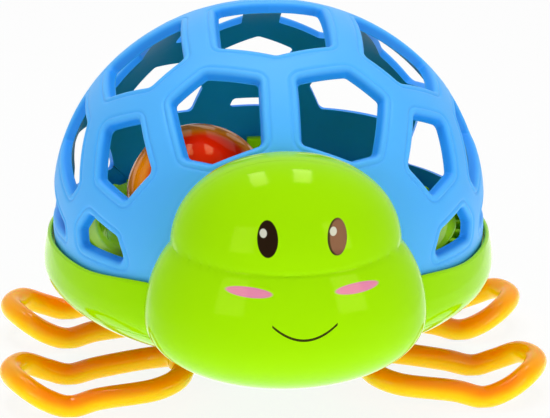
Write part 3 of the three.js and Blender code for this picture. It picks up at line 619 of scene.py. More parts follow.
    def addPanel(names):
        edges = ringEdges(names)
        border = [p for edge in edges for p in edge["points"][:-1]]
        middle = sum(border, Vector()).normalized()
        rows = [[p.lerp(middle, k / v["panelRings"]).normalized() if k else p for p in border]
                for k in range(v["panelRings"])]
        outer = ringFaces(bm, [atRadius(row, radius) for row in rows], True)
        fanFaces(bm, outer[-1], atRadius([middle], radius)[0])
        inner = ringFaces(bm, [insideRow(rows[0])] + [atRadius(row, inside) for row in rows[1:]], True)
        fanFaces(bm, inner[-1], atRadius([middle], inside)[0])
        for edge in edges:
            if edge["rim"]:
                addFlange(edge)

    windows = [w.split() for w in middleWindows + sideWindows]
    windows += [[otherSide(n) for n in w.split()] for w in sideWindows]
    for names in windows:
        addWindow(names)
    for names in closedPanels:
        addPanel(names.split())
    return pieceFrom(bm, "latticeShell", v["sharp"])


def markWallDepth(piece, v):
    # share of the wall's thickness below the outer face, read by the shell's finish to paint its shade
    depth = piece.data.attributes.new("wallDepth", "FLOAT", "POINT")
    middle = spot(0, 0, v["centre"])
    for vert in piece.data.vertices:
        away = vert.co - middle
        below = v["radius"] + domeGrowth(away.z / away.length) - away.length / mm
        depth.data[vert.index].value = min(1.0, max(0.0, below / v["wall"]))


shellPiece = makeShell(shellForm)
markWallDepth(shellPiece, shellForm)
finishPiece(shellPiece, shellBlue, "toy", "shell_blue", "shell_lattice")
print("shell made", len(shellPiece.data.polygons))

# Hull
hullForm = dict(bottom=15.5, flatRadius=34.0, widest=37.5, radius=72.7, parting=31.0, rim=46.6,
                lipInside=70.0, lipOutside=71.2, wall=2.2, tongueHeight=3.0, tongueWall=0.9, gap=0.3,
                ledgeTop=42.8, ledgeUnder=40.6, ledgeInside=53.5, sides=160, sharp=40,
                lipRise=2.3, riseFrom=60.0, riseTo=36.0, risePower=1.5, lipMatch=0.05, lipRound=0.5,
                lipStart=0.2, partingHalf=0.03, partingStart=0.45, partingCut=0.12, partingRound=(0.03, 0.06),
                step=0.12, stepFrom=26.0, stepTo=30.8, edgeDrop=0.3, edgeCut=0.05, footFrom=0.5,
                footRound=[(-1.0, 0.0), (0.6, 0.15)],
                upperRows=26, lipRows=6, innerRows=6, lowerRows=22, floorRows=12)
screwForm = dict(hole=1.7, recess=3.3, boss=4.0, wellRadius=48.0, wellWall=5.6, wellFoot=21.5, wellTop=37.2,
                 wellShoulder=34.9, plateHole=(15.0, 23.0), plateTip=22.5, plateBossTop=25.1, headSpread=32.0,
                 sink=1.0, tipRoom=0.3, cutFrom=5.0, cutTo=20.0, holeFrom=30.0)
flatShare = hullForm["flatRadius"] / hullForm["radius"]
bowlDepth = (hullForm["widest"] - hullForm["bottom"]) / math.sqrt(1 - flatShare ** 2)
wellRing = screwForm["wellRadius"]
wellSpots = [(wellRing, 0), (0, wellRing), (-wellRing, 0), (0, -wellRing)]
holeX, holeY = screwForm["plateHole"]
plateSpots = [(holeX, holeY), (holeX, -holeY), (-holeX, holeY), (-holeX, -holeY)]


def hullRadius(height):
    v = hullForm
    if height < v["widest"]:
        return v["radius"] * math.sqrt(1 - ((v["widest"] - height) / bowlDepth) ** 2)
    share = (height - v["widest"]) / (v["rim"] - v["widest"])
    return v["radius"] - (v["radius"] - v["lipOutside"]) * share ** 2


def spread(low, high, count):
    return [low + (high - low) * i / count for i in range(count + 1)]


def lipWarp(x, y, z):
    # the lip climbs a little where it meets the head
    v = hullForm
    bearing = abs(math.degrees(math.atan2(x, -y)))
    rise = v["lipRise"] * ease(v["riseFrom"], v["riseTo"], bearing)
    inner = math.hypot(x, y) < v["lipInside"] + v["lipMatch"]
    low = v["ledgeTop"] if inner else v["widest"]
    share = max(0.0, (z - low) / (v["rim"] - low))
    return x, y, z + rise * share ** v["risePower"]


def makeHullUpper(v):
    foot = v["parting"] + v["partingHalf"]
    lipFoot = v["rim"] - v["lipRound"]
    outer = [(hullRadius(z), z) for z in spread(v["parting"] + v["partingStart"], lipFoot, v["upperRows"])]
    lipMiddle = (v["lipInside"] + v["lipOutside"]) / 2
    half = (v["lipOutside"] - v["lipInside"]) / 2
    lip = [(lipMiddle + half * math.cos(a), lipFoot + v["lipRound"] * math.sin(a))
           for a in spread(v["lipStart"], math.pi, v["lipRows"])]
    leaf = hullRadius(v["parting"]) - v["wall"] + v["tongueWall"] + v["gap"]
    room = v["parting"] + v["tongueHeight"] + v["gap"]
    innerWall = [(hullRadius(z) - v["wall"], z) for z in spread(room, v["ledgeUnder"], v["innerRows"])]
    edge = hullRadius(foot)
    roundIn, roundUp = v["partingRound"]
    profile = [(leaf, foot), (edge - v["partingCut"], foot), (edge - roundIn, foot + roundUp)]
    profile += outer + lip
    profile += [(v["lipInside"], v["ledgeTop"]), (v["ledgeInside"], v["ledgeTop"])]
    profile += [(v["ledgeInside"], v["ledgeUnder"])] + innerWall[::-1] + [(leaf, room)]
    return revolved(profile, v["sides"], "hullRing", lipWarp, v["sharp"])


def makeHullLower(v, s):
    inside = hullRadius(v["parting"]) - v["wall"]
    floor = v["bottom"] + v["wall"]
    edge = v["parting"] - v["partingHalf"]
    tongueTop = v["parting"] + v["tongueHeight"]
    heights = spread(v["bottom"] + v["footFrom"], edge - v["edgeDrop"], v["lowerRows"])
    outer = [(hullRadius(z) - v["step"] * ease(v["stepFrom"], v["stepTo"], z), z) for z in heights]
    inner = [(hullRadius(z) - v["wall"], z) for z in spread(v["parting"], floor, v["floorRows"])]
    profile = [(0, v["bottom"])]
    profile += [(v["flatRadius"] + out, v["bottom"] + up) for out, up in v["footRound"]]
    profile += outer
    profile += [(outer[-1][0] - v["edgeCut"], edge), (inside + v["tongueWall"], edge),
                (inside + v["tongueWall"], tongueTop), (inside, tongueTop)]
    profile += inner + [(0, floor)]
    bowl = revolved(profile, v["sides"], "hullBowl", sharp=v["sharp"])
    added = rods(wellSpots, s["wellWall"], s["wellFoot"], s["wellTop"])
    added += rods(plateSpots, s["boss"], floor - s["sink"], s["plateBossTop"])
    solidWith(bowl, added, "UNION", v["sharp"])
    cut = rods(wellSpots, s["recess"], s["cutFrom"], s["wellShoulder"])
    cut += rods(wellSpots, s["hole"], s["holeFrom"], s["wellTop"] + s["sink"])
    cut += rods(plateSpots, s["hole"], s["cutFrom"], s["plateTip"] + s["tipRoom"])
    solidWith(bowl, cut, "DIFFERENCE", v["sharp"])
    return bowl


hullRing = makeHullUpper(hullForm)
finishPiece(hullRing, bodyGreen, "toy", "body_green", "hull_upper")
hullBowl = makeHullLower(hullForm, screwForm)
finishPiece(hullBowl, bodyGreen, "toy", "body_green", "hull_lower")
print("hull made")

# Deck
deckForm = dict(bottom=43.1, top=45.1, radius=57.6, kerbInside=54.35, kerbOutside=60.85, kerbTop=49.1,
                kerbFoot=45.9, outerRound=[(0.0, 0.4), (0.12, 0.12), (0.4, 0.0)],
                innerRound=[(0.75, 0.0), (0.42, 0.12), (0.3, 0.4)], kerbFillet=[(0.05, 0.35), (-0.3, 0.0)],
                grooveRadius=52.4, grooveWidth=0.7, grooveDepth=0.5, grooveFloor=0.5, middleStart=6,
                postLength=5.6, postSink=0.8, sides=126, sharp=30, teeth=42, toothLength=2.9, toothWidth=3.2,
                toothHeight=2.6, toothSink=0.6, toothDraft=0.5, toothTop=0.82,
                tabWidth=6.0, tabHeight=8.5, tabFoot=0.2, tabSink=1.2, tabRound=0.7)


def makeRearTab(v):
    # the upright tab at the deck's rear, with rounded edges
    bm = bmesh.new()
    bmesh.ops.create_cube(bm, size=1)
    low, high = v["kerbFoot"] + v["tabFoot"], v["kerbTop"] + v["tabHeight"]
    near, far = v["kerbOutside"] - v["tabSink"], v["kerbOutside"] + v["toothLength"]
    for vert in bm.verts:
        vert.co = spot(vert.co.x * v["tabWidth"], (near + far) / 2 + vert.co.y * (far - near),
                       (low + high) / 2 + vert.co.z * (high - low))
    roundEdges(bm, bm.edges[:], v["tabRound"])
    return pieceFrom(bm, "rearTab")


def makeDeck(v, s):
    top, groove, depth = v["top"], v["grooveRadius"], v["grooveDepth"]
    half = v["grooveWidth"] / 2
    floorHalf = half * v["grooveFloor"]
    profile = [(0, v["bottom"]), (v["radius"], v["bottom"]), (v["radius"], v["kerbFoot"]),
               (v["kerbOutside"], v["kerbFoot"])]
    profile += [(v["kerbOutside"] - back, v["kerbTop"] - down) for back, down in v["outerRound"]]
    profile += [(v["kerbInside"] + out, v["kerbTop"] - down) for out, down in v["innerRound"]]
    profile += [(v["kerbInside"] + out, top + up) for out, up in v["kerbFillet"]]
    profile += [(groove + half, top), (groove + floorHalf, top - depth), (groove - floorHalf, top - depth),
                (groove - half, top), (groove - v["middleStart"], top), (0, top)]
    deck = revolved(profile, v["sides"], "deckDisc", sharp=v["sharp"])
    low = v["bottom"] - v["postLength"]
    posts = rods(wellSpots, s["boss"], low, v["bottom"] + v["postSink"])
    solidWith(deck, posts + [makeRearTab(v)], "UNION", v["sharp"])
    solidWith(deck, rods(wellSpots, s["hole"], low - s["sink"], v["bottom"]), "DIFFERENCE", v["sharp"])
    return deck


deckDisc = makeDeck(deckForm, screwForm)
finishPiece(deckDisc, bodyGreen, "toy", "body_green", "deck")


# Geometry Nodes helpers
def nodeTree(name, inputs):
    tree = bpy.data.node_groups.new(name, "GeometryNodeTree")
    tree.interface.new_socket(name="Geometry", in_out="INPUT", socket_type="NodeSocketGeometry")
    kinds = {"i": "NodeSocketInt", "f": "NodeSocketFloat", "v": "NodeSocketVector",
             "m": "NodeSocketMaterial"}
    for key, kind in inputs:
        tree.interface.new_socket(name=key, in_out="INPUT", socket_type=kinds[kind])
    tree.interface.new_socket(name="Geometry", in_out="OUTPUT", socket_type="NodeSocketGeometry")
    return tree, addNode(tree, "NodeGroupInput"), addNode(tree, "NodeGroupOutput")


def endTree(tree, put, take, shape, rotation=None):
    # one shape on every point, made solid and given its finish
    link = tree.links.new
    repeated = addNode(tree, "GeometryNodeInstanceOnPoints")
    solid = addNode(tree, "GeometryNodeRealizeInstances")
    paint = addNode(tree, "GeometryNodeSetMaterial")
    link(put.outputs["Geometry"], repeated.inputs["Points"])
    link(shape, repeated.inputs["Instance"])
    if rotation:
        link(rotation, repeated.inputs["Rotation"])
    link(repeated.outputs[0], solid.inputs[0])
    link(solid.outputs[0], paint.inputs[0])
    link(put.outputs["Material"], paint.inputs["Material"])
    link(paint.outputs[0], take.inputs[0])


def runTree(tree, name, points, values, sharp=35.0):
    # points in toy millimetres carry the repeated shape
    mesh = bpy.data.meshes.new(name)
    mesh.from_pydata([spot(*p) for p in points], [], [])
    piece = bpy.data.objects.new(name, mesh)
    scene.collection.objects.link(piece)
    step = piece.modifiers.new("repeat", "NODES")
    step.node_group = tree
    for item in tree.interface.items_tree:
        if item.item_type == "SOCKET" and item.in_out == "INPUT" and item.name in values:
            step[item.identifier] = values[item.name]
    bakeModifiers(piece, sharp)
    return piece


def makeToothTree():
    # drafted blocks standing round a ring
    tree, put, take = nodeTree("kerbTeeth", [("Width", "f"), ("Length", "f"), ("Height", "f"), ("Draft", "f"),
                                             ("Top Share", "f"), ("Axis", "v"), ("Material", "m")])
    link = tree.links.new
    size = addNode(tree, "ShaderNodeCombineXYZ")
    cube = addNode(tree, "GeometryNodeMeshCube")
    for key, socket in zip(("Width", "Length", "Height"), size.inputs):
        link(put.outputs[key], socket)
    link(size.outputs[0], cube.inputs["Size"])
    normal = addNode(tree, "GeometryNodeInputNormal")
    parts = addNode(tree, "ShaderNodeSeparateXYZ")
    upward = addNode(tree, "FunctionNodeCompare", data_type="FLOAT", operation="GREATER_THAN")
    upward.inputs[1].default_value = 0.5  # only the top face
    link(normal.outputs[0], parts.inputs[0])
    link(parts.outputs[2], upward.inputs[0])
    raised = addNode(tree, "GeometryNodeExtrudeMesh", mode="FACES")
    link(cube.outputs["Mesh"], raised.inputs["Mesh"])
    link(upward.outputs[0], raised.inputs["Selection"])
    link(put.outputs["Draft"], raised.inputs["Offset Scale"])
    narrow = addNode(tree, "GeometryNodeScaleElements", domain="FACE")
    link(put.outputs["Top Share"], narrow.inputs["Scale"])
    link(raised.outputs["Mesh"], narrow.inputs["Geometry"])
    link(raised.outputs["Top"], narrow.inputs["Selection"])
    place = addNode(tree, "GeometryNodeInputPosition")
    away = addNode(tree, "ShaderNodeVectorMath", operation="SUBTRACT")
    link(place.outputs[0], away.inputs[0])
    link(put.outputs["Axis"], away.inputs[1])
    turn = addNode(tree, "FunctionNodeAlignRotationToVector", axis="Y", pivot_axis="Z")
    link(away.outputs[0], turn.inputs["Vector"])
    endTree(tree, put, take, narrow.outputs[0], turn.outputs[0])
    return tree


def makeTeeth(v):
    ring = v["kerbOutside"] + v["toothLength"] / 2 - v["toothSink"]
    height = v["kerbFoot"] + v["toothHeight"] / 2
    points = []
    for i in range(v["teeth"]):
        angle = 2 * math.pi * i / v["teeth"]
        points.append((-ring * math.sin(angle), ring * math.cos(angle), height))
    values = {"Width": v["toothWidth"] * mm, "Length": (v["toothLength"] + 2 * v["toothSink"]) * mm,
              "Height": (v["toothHeight"] - v["toothDraft"]) * mm, "Draft": v["toothDraft"] * mm,
              "Top Share": v["toothTop"], "Axis": spot(0, 0, height + axisGap), "Material": bodyGreen}
    return runTree(makeToothTree(), "deckTeeth", points, values)


deckTeeth = makeTeeth(deckForm)
finishPiece(deckTeeth, bodyGreen, "toy", "body_green", "deck")
print("deck made")


# Screws
screwKinds = dict(shank=1.45, head=2.8, headHeight=2.0, slot=0.7, slotLength=3.2, slotDepth=1.1,
                  rimShare=0.55, crownShare=0.45, crownTop=0.7, sides=24)


def makeScrewTree(v):
    # a pan head with a cross slot on a plain shank, the underside of the head on the point
    tree, put, take = nodeTree("panScrews", [
        ("Shank Radius", "f"), ("Shank Length", "f"), ("Head Radius", "f"), ("Head Height", "f"),
        ("Slot Width", "f"), ("Slot Length", "f"), ("Slot Depth", "f"), ("Rotation", "v"), ("Material", "m")])
    link = tree.links.new
    calc = calcFor(tree)

    def raised(geometry, height):
        shift = addNode(tree, "ShaderNodeCombineXYZ")
        link(height, shift.inputs[2])
        move = addNode(tree, "GeometryNodeTransform")
        link(geometry, move.inputs["Geometry"])
        link(shift.outputs[0], move.inputs["Translation"])
        return move.outputs[0]

    def cone(low, high, depth):
        node = addNode(tree, "GeometryNodeMeshCone")
        node.inputs["Vertices"].default_value = v["sides"]
        for key, value in (("Radius Bottom", low), ("Radius Top", high), ("Depth", depth)):
            link(value, node.inputs[key])
        return node.outputs["Mesh"]

    def slotBlock(alongX):
        size = addNode(tree, "ShaderNodeCombineXYZ")
        link(put.outputs["Slot Length" if alongX else "Slot Width"], size.inputs[0])
        link(put.outputs["Slot Width" if alongX else "Slot Length"], size.inputs[1])
        link(calc("MULTIPLY", put.outputs["Slot Depth"], 2.0), size.inputs[2])
        cube = addNode(tree, "GeometryNodeMeshCube")
        link(size.outputs[0], cube.inputs["Size"])
        return raised(cube.outputs["Mesh"], calc("MULTIPLY", put.outputs["Head Height"], -1.0))

    head, height = put.outputs["Head Radius"], put.outputs["Head Height"]
    rimHeight, crownHeight = (calc("MULTIPLY", height, v[key]) for key in ("rimShare", "crownShare"))
    rim = raised(cone(head, head, rimHeight), calc("MULTIPLY", rimHeight, -1.0))
    crownTop = calc("MULTIPLY", head, v["crownTop"])
    crown = raised(cone(crownTop, head, crownHeight), calc("MULTIPLY", height, -1.0))
    shank = cone(put.outputs["Shank Radius"], put.outputs["Shank Radius"], put.outputs["Shank Length"])
    body = addNode(tree, "GeometryNodeMeshBoolean", operation="UNION")
    body.solver = "EXACT"
    for part in (rim, crown, shank):
        link(part, body.inputs["Mesh 2"])
    cross = addNode(tree, "GeometryNodeMeshBoolean", operation="DIFFERENCE")
    cross.solver = "EXACT"
    link(body.outputs["Mesh"], cross.inputs["Mesh 1"])
    for part in (slotBlock(True), slotBlock(False)):
        link(part, cross.inputs["Mesh 2"])
    endTree(tree, put, take, cross.outputs["Mesh"], put.outputs["Rotation"])
    return tree


def makeScrews(name, tree, points, length, turn):
    k = screwKinds
    values = {"Shank Radius": k["shank"] * mm, "Shank Length": length * mm, "Head Radius": k["head"] * mm,
              "Head Height": k["headHeight"] * mm, "Slot Width": k["slot"] * mm,
              "Slot Length": k["slotLength"] * mm, "Slot Depth": k["slotDepth"] * mm,
              "Rotation": (turn, 0, 0), "Material": screwSteel}
    return runTree(tree, name, points, values)


def uprightScrew(node):
    # the heights of a screw's seat and tip
    low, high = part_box(node)
    return low[2] / mm + screwKinds["headHeight"], high[2] / mm


screwTree = makeScrewTree(screwKinds)
deckSeat, deckTip = uprightScrew("deck_screw_1")
plateSeat, plateTip = uprightScrew("plate_screw_1")
headLow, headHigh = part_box("head_screw_1")
headSeat, headTip = (axisY - headHigh[1]) / mm + screwKinds["headHeight"], (axisY - headLow[1]) / mm
headLine = boxMiddle("head_screw_1")[2]
headHalf = screwForm["headSpread"] / 2
screwSets = [
    ("deckScrews", "deck_screw", [(x, y, deckSeat) for x, y in wellSpots], deckTip - deckSeat, 0),
    ("plateScrews", "plate_screw", [(x, y, plateSeat) for x, y in plateSpots], plateTip - plateSeat, 0),
    ("headScrews", "head_screw", [(x * headHalf, -headSeat, headLine) for x in (1, -1)],
     headTip - headSeat, math.pi / 2)]
for name, node, points, length, turn in screwSets:
    screws = makeScrews(name, screwTree, points, length, turn)
    nodes = [f"{node}_{i + 1}" for i in range(len(points))]
    finishPiece(screws, screwSteel, "toy", "screw_steel", *nodes)
print("screws made")

# Legs
legForm = dict(tube=3.6, footFlat=0.5, reach=87.5, spacing=60.0, width=34.8, tipHeight=10.0, dipReach=65.5,
               inner=29.0, innerDrop=2.2, tabMiddle=12.7, tabThickness=5.0, tabWidth=10.0, tabRound=0.6,
               tabSteps=12, steps=220, fineSteps=40, sides=22, sharp=40,
               tipCorner=(-4, 0.7, -1), tipSlope=(7, 0.97, -1.4), dipSlope=(-9, 0.98, 2.2),
               innerSlope=(9, 1, -2.2), innerCorner=(2.5, 0.72, -0.6),
               # painted light through the rubber from below, by the strand's facing and its nearness to the
               # tip
               paintedGlow=0.15, paintedUnderGlow=0.8, paintedTipGlow=0.3, underFrom=0.75, underTo=-0.2, tipFrom=16, tipTo=3)


def loopPoints(v):
    # the strand's places are set off from the tip, the dip or the inner end: (reach, share of width, rise)
    strand = v["width"] / 2 - v["tube"]
    dip = v["tube"] - v["footFlat"]
    tip = v["reach"] - v["tube"]
    innerHeight = v["tabMiddle"] - v["innerDrop"]

    def place(reach, height, offset):
        out, share, rise = offset
        return reach + out, strand * share, height + rise

    side = [place(tip, v["tipHeight"], v["tipCorner"]),
            place(v["dipReach"], (v["tipHeight"] + dip) / 2, v["tipSlope"]),
            (v["dipReach"], strand, dip),
            place(v["dipReach"], dip, v["dipSlope"]),
            place(v["inner"], innerHeight, v["innerSlope"]),
            place(v["inner"], innerHeight, v["innerCorner"])]
    points = [(tip, 0, v["tipHeight"])] + side + [(v["inner"], 0, innerHeight)]
    points += [(x, -y, z) for x, y, z in reversed(side)]
    return [Vector(p) for p in points]


def closedCurve(points, steps, fineSteps):
    # centripetal spline through a closed ring of points, evenly spaced along its length
    count = len(points)
    dense = []
    for i in range(count):
        p0, p1, p2, p3 = (points[(i + k - 1) % count] for k in range(4))
        d1, d2, d3 = ((b - a).length ** 0.5 for a, b in ((p0, p1), (p1, p2), (p2, p3)))
        t1 = ((p1 - p0) / d1 - (p2 - p0) / (d1 + d2) + (p2 - p1) / d2) * d2
        t2 = ((p2 - p1) / d2 - (p3 - p1) / (d2 + d3) + (p3 - p2) / d3) * d2
        for k in range(fineSteps):
            t = k / fineSteps
            a, b = 2 * t ** 3 - 3 * t ** 2 + 1, t ** 3 - 2 * t ** 2 + t
            c, d = -2 * t ** 3 + 3 * t ** 2, t ** 3 - t ** 2
            dense.append(p1 * a + t1 * b + p2 * c + t2 * d)
    lengths = [0.0]
    for a, b in zip(dense, dense[1:] + dense[:1]):
        lengths.append(lengths[-1] + (b - a).length)
    even, at = [], 0
    for i in range(steps):
        goal = lengths[-1] * i / steps
        while lengths[at + 1] < goal:
            at += 1
        share = (goal - lengths[at]) / (lengths[at + 1] - lengths[at])
        even.append(dense[at].lerp(dense[(at + 1) % len(dense)], share))
    return even


def makeTab(v, s, side, end):
    # flat bar with round ends from the screw hole to the loop
    x0, y0 = s["plateHole"]
    x1, y1 = v["inner"], v["spacing"] / 2
    along = Vector((x1 - x0, y1 - y0)).normalized()
    across = Vector((-along.y, along.x))
    half = v["tabWidth"] / 2
    outline = []
    for hub, start in (((x0, y0), 90), ((x1, y1), 270)):
        for k in range(v["tabSteps"] + 1):
            angle = math.radians(start + 180 * k / v["tabSteps"])
            off = along * math.cos(angle) + across * math.sin(angle)
            outline.append((side * (hub[0] + off.x * half), end * (hub[1] + off.y * half)))
    low, high = v["tabMiddle"] - v["tabThickness"] / 2, v["tabMiddle"] + v["tabThickness"] / 2
    bm = bmesh.new()
    caps = cappedPrism(bm, outline, low, high)
    bmesh.ops.recalc_face_normals(bm, faces=bm.faces)
    roundEdges(bm, [edge for face in caps for edge in face.edges], v["tabRound"])
    return pieceFrom(bm, "tab")


def markPaintedThroughLight(piece, v):
    # share of painted light coming through from below, most on the underside and at the tips
    paintedGlow = piece.data.attributes.new("paintedThroughLight", "FLOAT", "POINT")
    normals = [n.vector for n in piece.data.vertex_normals]
    for i, vert in enumerate(piece.data.vertices):
        outward = abs(vert.co.x) / mm
        tip = ease(v["reach"] - v["tipFrom"], v["reach"] - v["tipTo"], outward)
        under = ease(v["underFrom"], v["underTo"], normals[i].z)
        paintedGlow.data[i].value = min(1.0, v["paintedGlow"] + v["paintedUnderGlow"] * under + v["paintedTipGlow"] * tip)


def makeLeg(name, v, s, side, end):
    line = closedCurve(loopPoints(v), v["steps"], v["fineSteps"])
    centre = v["spacing"] / 2
    bm = bmesh.new()
    rows = []
    for i, p in enumerate(line):
        along = (line[(i + 1) % len(line)] - line[i - 1]).normalized()
        level = along.cross(Vector((0, 0, 1))).normalized()
        lift = level.cross(along)
        row = []
        for k in range(v["sides"]):
            angle = 2 * math.pi * k / v["sides"]
            q = p + (level * math.cos(angle) + lift * math.sin(angle)) * v["tube"]
            row.append((side * q.x, end * (q.y + centre), max(0.0, q.z)))
        rows.append(row)
    ringFaces(bm, rows + rows[:1], True)
    leg = pieceFrom(bm, name, v["sharp"])
    solidWith(leg, [makeTab(v, s, side, end)], "UNION", v["sharp"])
    x, y = s["plateHole"]
    solidWith(leg, [rod(side * x, end * y, s["hole"], s["cutFrom"], s["cutTo"])], "DIFFERENCE", v["sharp"])
    markPaintedThroughLight(leg, v)
    return leg


for endName, end in (("front", -1), ("rear", 1)):
    for sideName, side in (("left", 1), ("right", -1)):
        leg = makeLeg(f"loopLeg_{endName}_{sideName}", legForm, screwForm, side, end)
        finishPiece(leg, legOrange, "toy", "leg_orange", f"leg_{endName}_{sideName}")
print("legs made")

# Clamp plate under the hull
plateForm = dict(margin=5.5, cornerSteps=8, bottom=5.9, top=9.9, seat=8.2, bevel=0.6, past=2)


def makePlate(v, s):
    x, y = s["plateHole"]
    outline = []
    for cx, cy, start in ((x, y, 0), (-x, y, 90), (-x, -y, 180), (x, -y, 270)):
        for k in range(v["cornerSteps"] + 1):
            angle = math.radians(start + 90 * k / v["cornerSteps"])
            outline.append((cx + v["margin"] * math.cos(angle), cy + v["margin"] * math.sin(angle)))
    bm = bmesh.new()
    caps = cappedPrism(bm, outline, v["bottom"], v["top"])
    bmesh.ops.recalc_face_normals(bm, faces=bm.faces)
    roundEdges(bm, list(caps[0].edges), v["bevel"])
    plate = pieceFrom(bm, "clampPlate")
    cut = rods(plateSpots, s["recess"], v["bottom"] - v["past"], v["seat"])
    cut += rods(plateSpots, s["hole"], v["bottom"] - v["past"], v["top"] + v["past"])
    solidWith(plate, cut, "DIFFERENCE")
    return plate


clampPlate = makePlate(plateForm, screwForm)
finishPiece(clampPlate, bodyGreen, "toy", "body_green", "leg_plate")

# Head
headForm = dict(middle=73.5, hubY=80.0, hubZ=52.0, squareness=0.94, crease=0.6, creaseDepth=0.32,
                parting=77.5, gap=0.3, wall=2.2, sides=180, frontRings=84, backRings=60, edgeDrop=0.03,
                edgeRings=1.6, partingGap=0.04, cutFrom=-0.3, cutTo=0.5, cutHalvings=30, farReach=80.0,
                halvings=34, seatTouch=0.002, seatStride=0.9, hubRadius=0.4, sharp=40,
                brow=(66.0, 35.0, 24.5, 28.3, 24.0), muzzle=(44.0, 42.8, 28.5, 38.0, 21.5))


def lobeExit(hub, ray, v, form):
    # distance from the hub to a lobe's skin along a ray
    height, halfWidth, halfDepth, rise, drop = form
    power = 1 / v["squareness"]

    def field(t):
        p = hub + ray * t
        up = p.z - height
        across = (p.x / halfWidth) ** 2 + ((p.y + v["middle"]) / halfDepth) ** 2
        return across ** power + abs(up / (rise if up > 0 else drop)) ** (2 * power) - 1

    low, high = 0.0, v["farReach"]
    for _ in range(v["halvings"]):
        middle = (low + high) / 2
        low, high = (middle, high) if field(middle) < 0 else (low, middle)
    return low


def seatDistance(p):
    # how far a point is outside the shell and the hull
    v = hullForm
    gap = headForm["gap"]
    away = p - Vector((0, 0, shellForm["centre"]))
    fromDome = away.length - shellForm["radius"] - domeGrowth(away.z / away.length) - gap
    if v["bottom"] - 1 < p.z < v["rim"] + v["lipRise"]:
        height = min(max(p.z, v["bottom"]), v["rim"])
        return min(fromDome, math.hypot(p.x, p.y) - hullRadius(height) - gap)
    return fromDome


def headExit(hub, ray, v):
    # distance to the head's skin: the further lobe, with a crease where the two meet
    first, second = lobeExit(hub, ray, v, v["brow"]), lobeExit(hub, ray, v, v["muzzle"])
    share = max(v["crease"] - abs(first - second), 0) / v["crease"]
    reach = max(first, second) - share * share * v["creaseDepth"]
    if ray.y < 0:
        return reach
    t = 0.0
    while t < reach:  # walk out to the seat against the shell
        step = seatDistance(hub + ray * t)
        if step < v["seatTouch"]:
            return t
        t += max(step * v["seatStride"], v["seatTouch"])
    return reach


def makeHeadHalf(name, v, front):
    hub = Vector((0, -v["hubY"], v["hubZ"]))
    plane = -v["parting"] + (-v["partingGap"] if front else v["partingGap"])
    rings = v["frontRings"] if front else v["backRings"]
    outer, inner = [[] for _ in range(rings + 1)], [[] for _ in range(rings + 1)]
    for k in range(v["sides"]):
        turn = 2 * math.pi * k / v["sides"]
        spoke = Vector((math.sin(turn), 0, math.cos(turn)))

        def ray(angle):
            return Vector((0, -math.cos(angle), 0)) + spoke * math.sin(angle)

        low, high = math.pi / 2 + v["cutFrom"], math.pi / 2 + v["cutTo"]
        for _ in range(v["cutHalvings"]):  # the angle at which the skin meets the parting plane
            middle = (low + high) / 2
            reach = headExit(hub, ray(middle), v)
            low, high = (middle, high) if (hub + ray(middle) * reach).y < plane else (low, middle)
        cut = (low + high) / 2
        for i in range(rings + 1):
            angle = cut * i / rings if front else math.pi - (math.pi - cut) * i / rings
            reach = headExit(hub, ray(angle), v)
            edge = v["edgeDrop"] * max(0, 1 - (rings - i) / v["edgeRings"]) ** 2
            outer[i].append(hub + ray(angle) * (reach - edge))
            inner[i].append(hub + ray(angle) * max(v["hubRadius"], reach - v["wall"]))
    bm = bmesh.new()
    ends = []
    for rows in (outer, inner):
        for p in rows[-1]:
            p.y = plane
        skin = ringFaces(bm, rows[1:], True)
        fanFaces(bm, skin[0], rows[0][0])
        ends.append(skin[-1])
    joinRows(bm, *ends)
    return pieceFrom(bm, name, v["sharp"])


headFront = makeHeadHalf("headFront", headForm, True)
headBackHalf = makeHeadHalf("headBack", headForm, False)
print("head made", len(headFront.data.polygons))


# Face, printed in ink on the front of the head, with a painted reflection on one eye
faceInk = dict(
    eyes=[dict(side=-7.2, height=75.65, halfWidth=3.05, halfHeight=5.35),
          dict(side=13.4, height=75.5, halfWidth=2.95, halfHeight=5.3)],
    # painted reflection: a brown oval on the second eye for a lamp's reflection on its glossy ink
    eyeReflection=dict(side=13.75, height=75.5, halfWidth=2.55, halfHeight=5.15),
    glints=[dict(side=-8.45, height=77.4, halfWidth=1.05, halfHeight=1.28),
            dict(side=12.25, height=77.3, halfWidth=1.05, halfHeight=1.28)],
    cheeks=[dict(side=-12.8, height=60.1, halfWidth=6.8, halfHeight=1.5, tilt=-4),
            dict(side=19.3, height=60.1, halfWidth=6.6, halfHeight=1.5, tilt=3)],
    mouthSide=3.6, mouthHeight=45.9, mouthHalf=9.7, mouthCurve=0.047, mouthWidth=0.8,
    eyeColour=srgb(26, 10, 10), eyeReflectionColour=srgb(126, 82, 66), glintColour=srgb(205, 206, 190),
    cheekColour=srgb(224, 134, 168), mouthColour=srgb(48, 52, 10),
    eyeEdge=0.05, eyeReflectionEdge=0.12, glintEdge=0.16, cheekEdge=0.14)


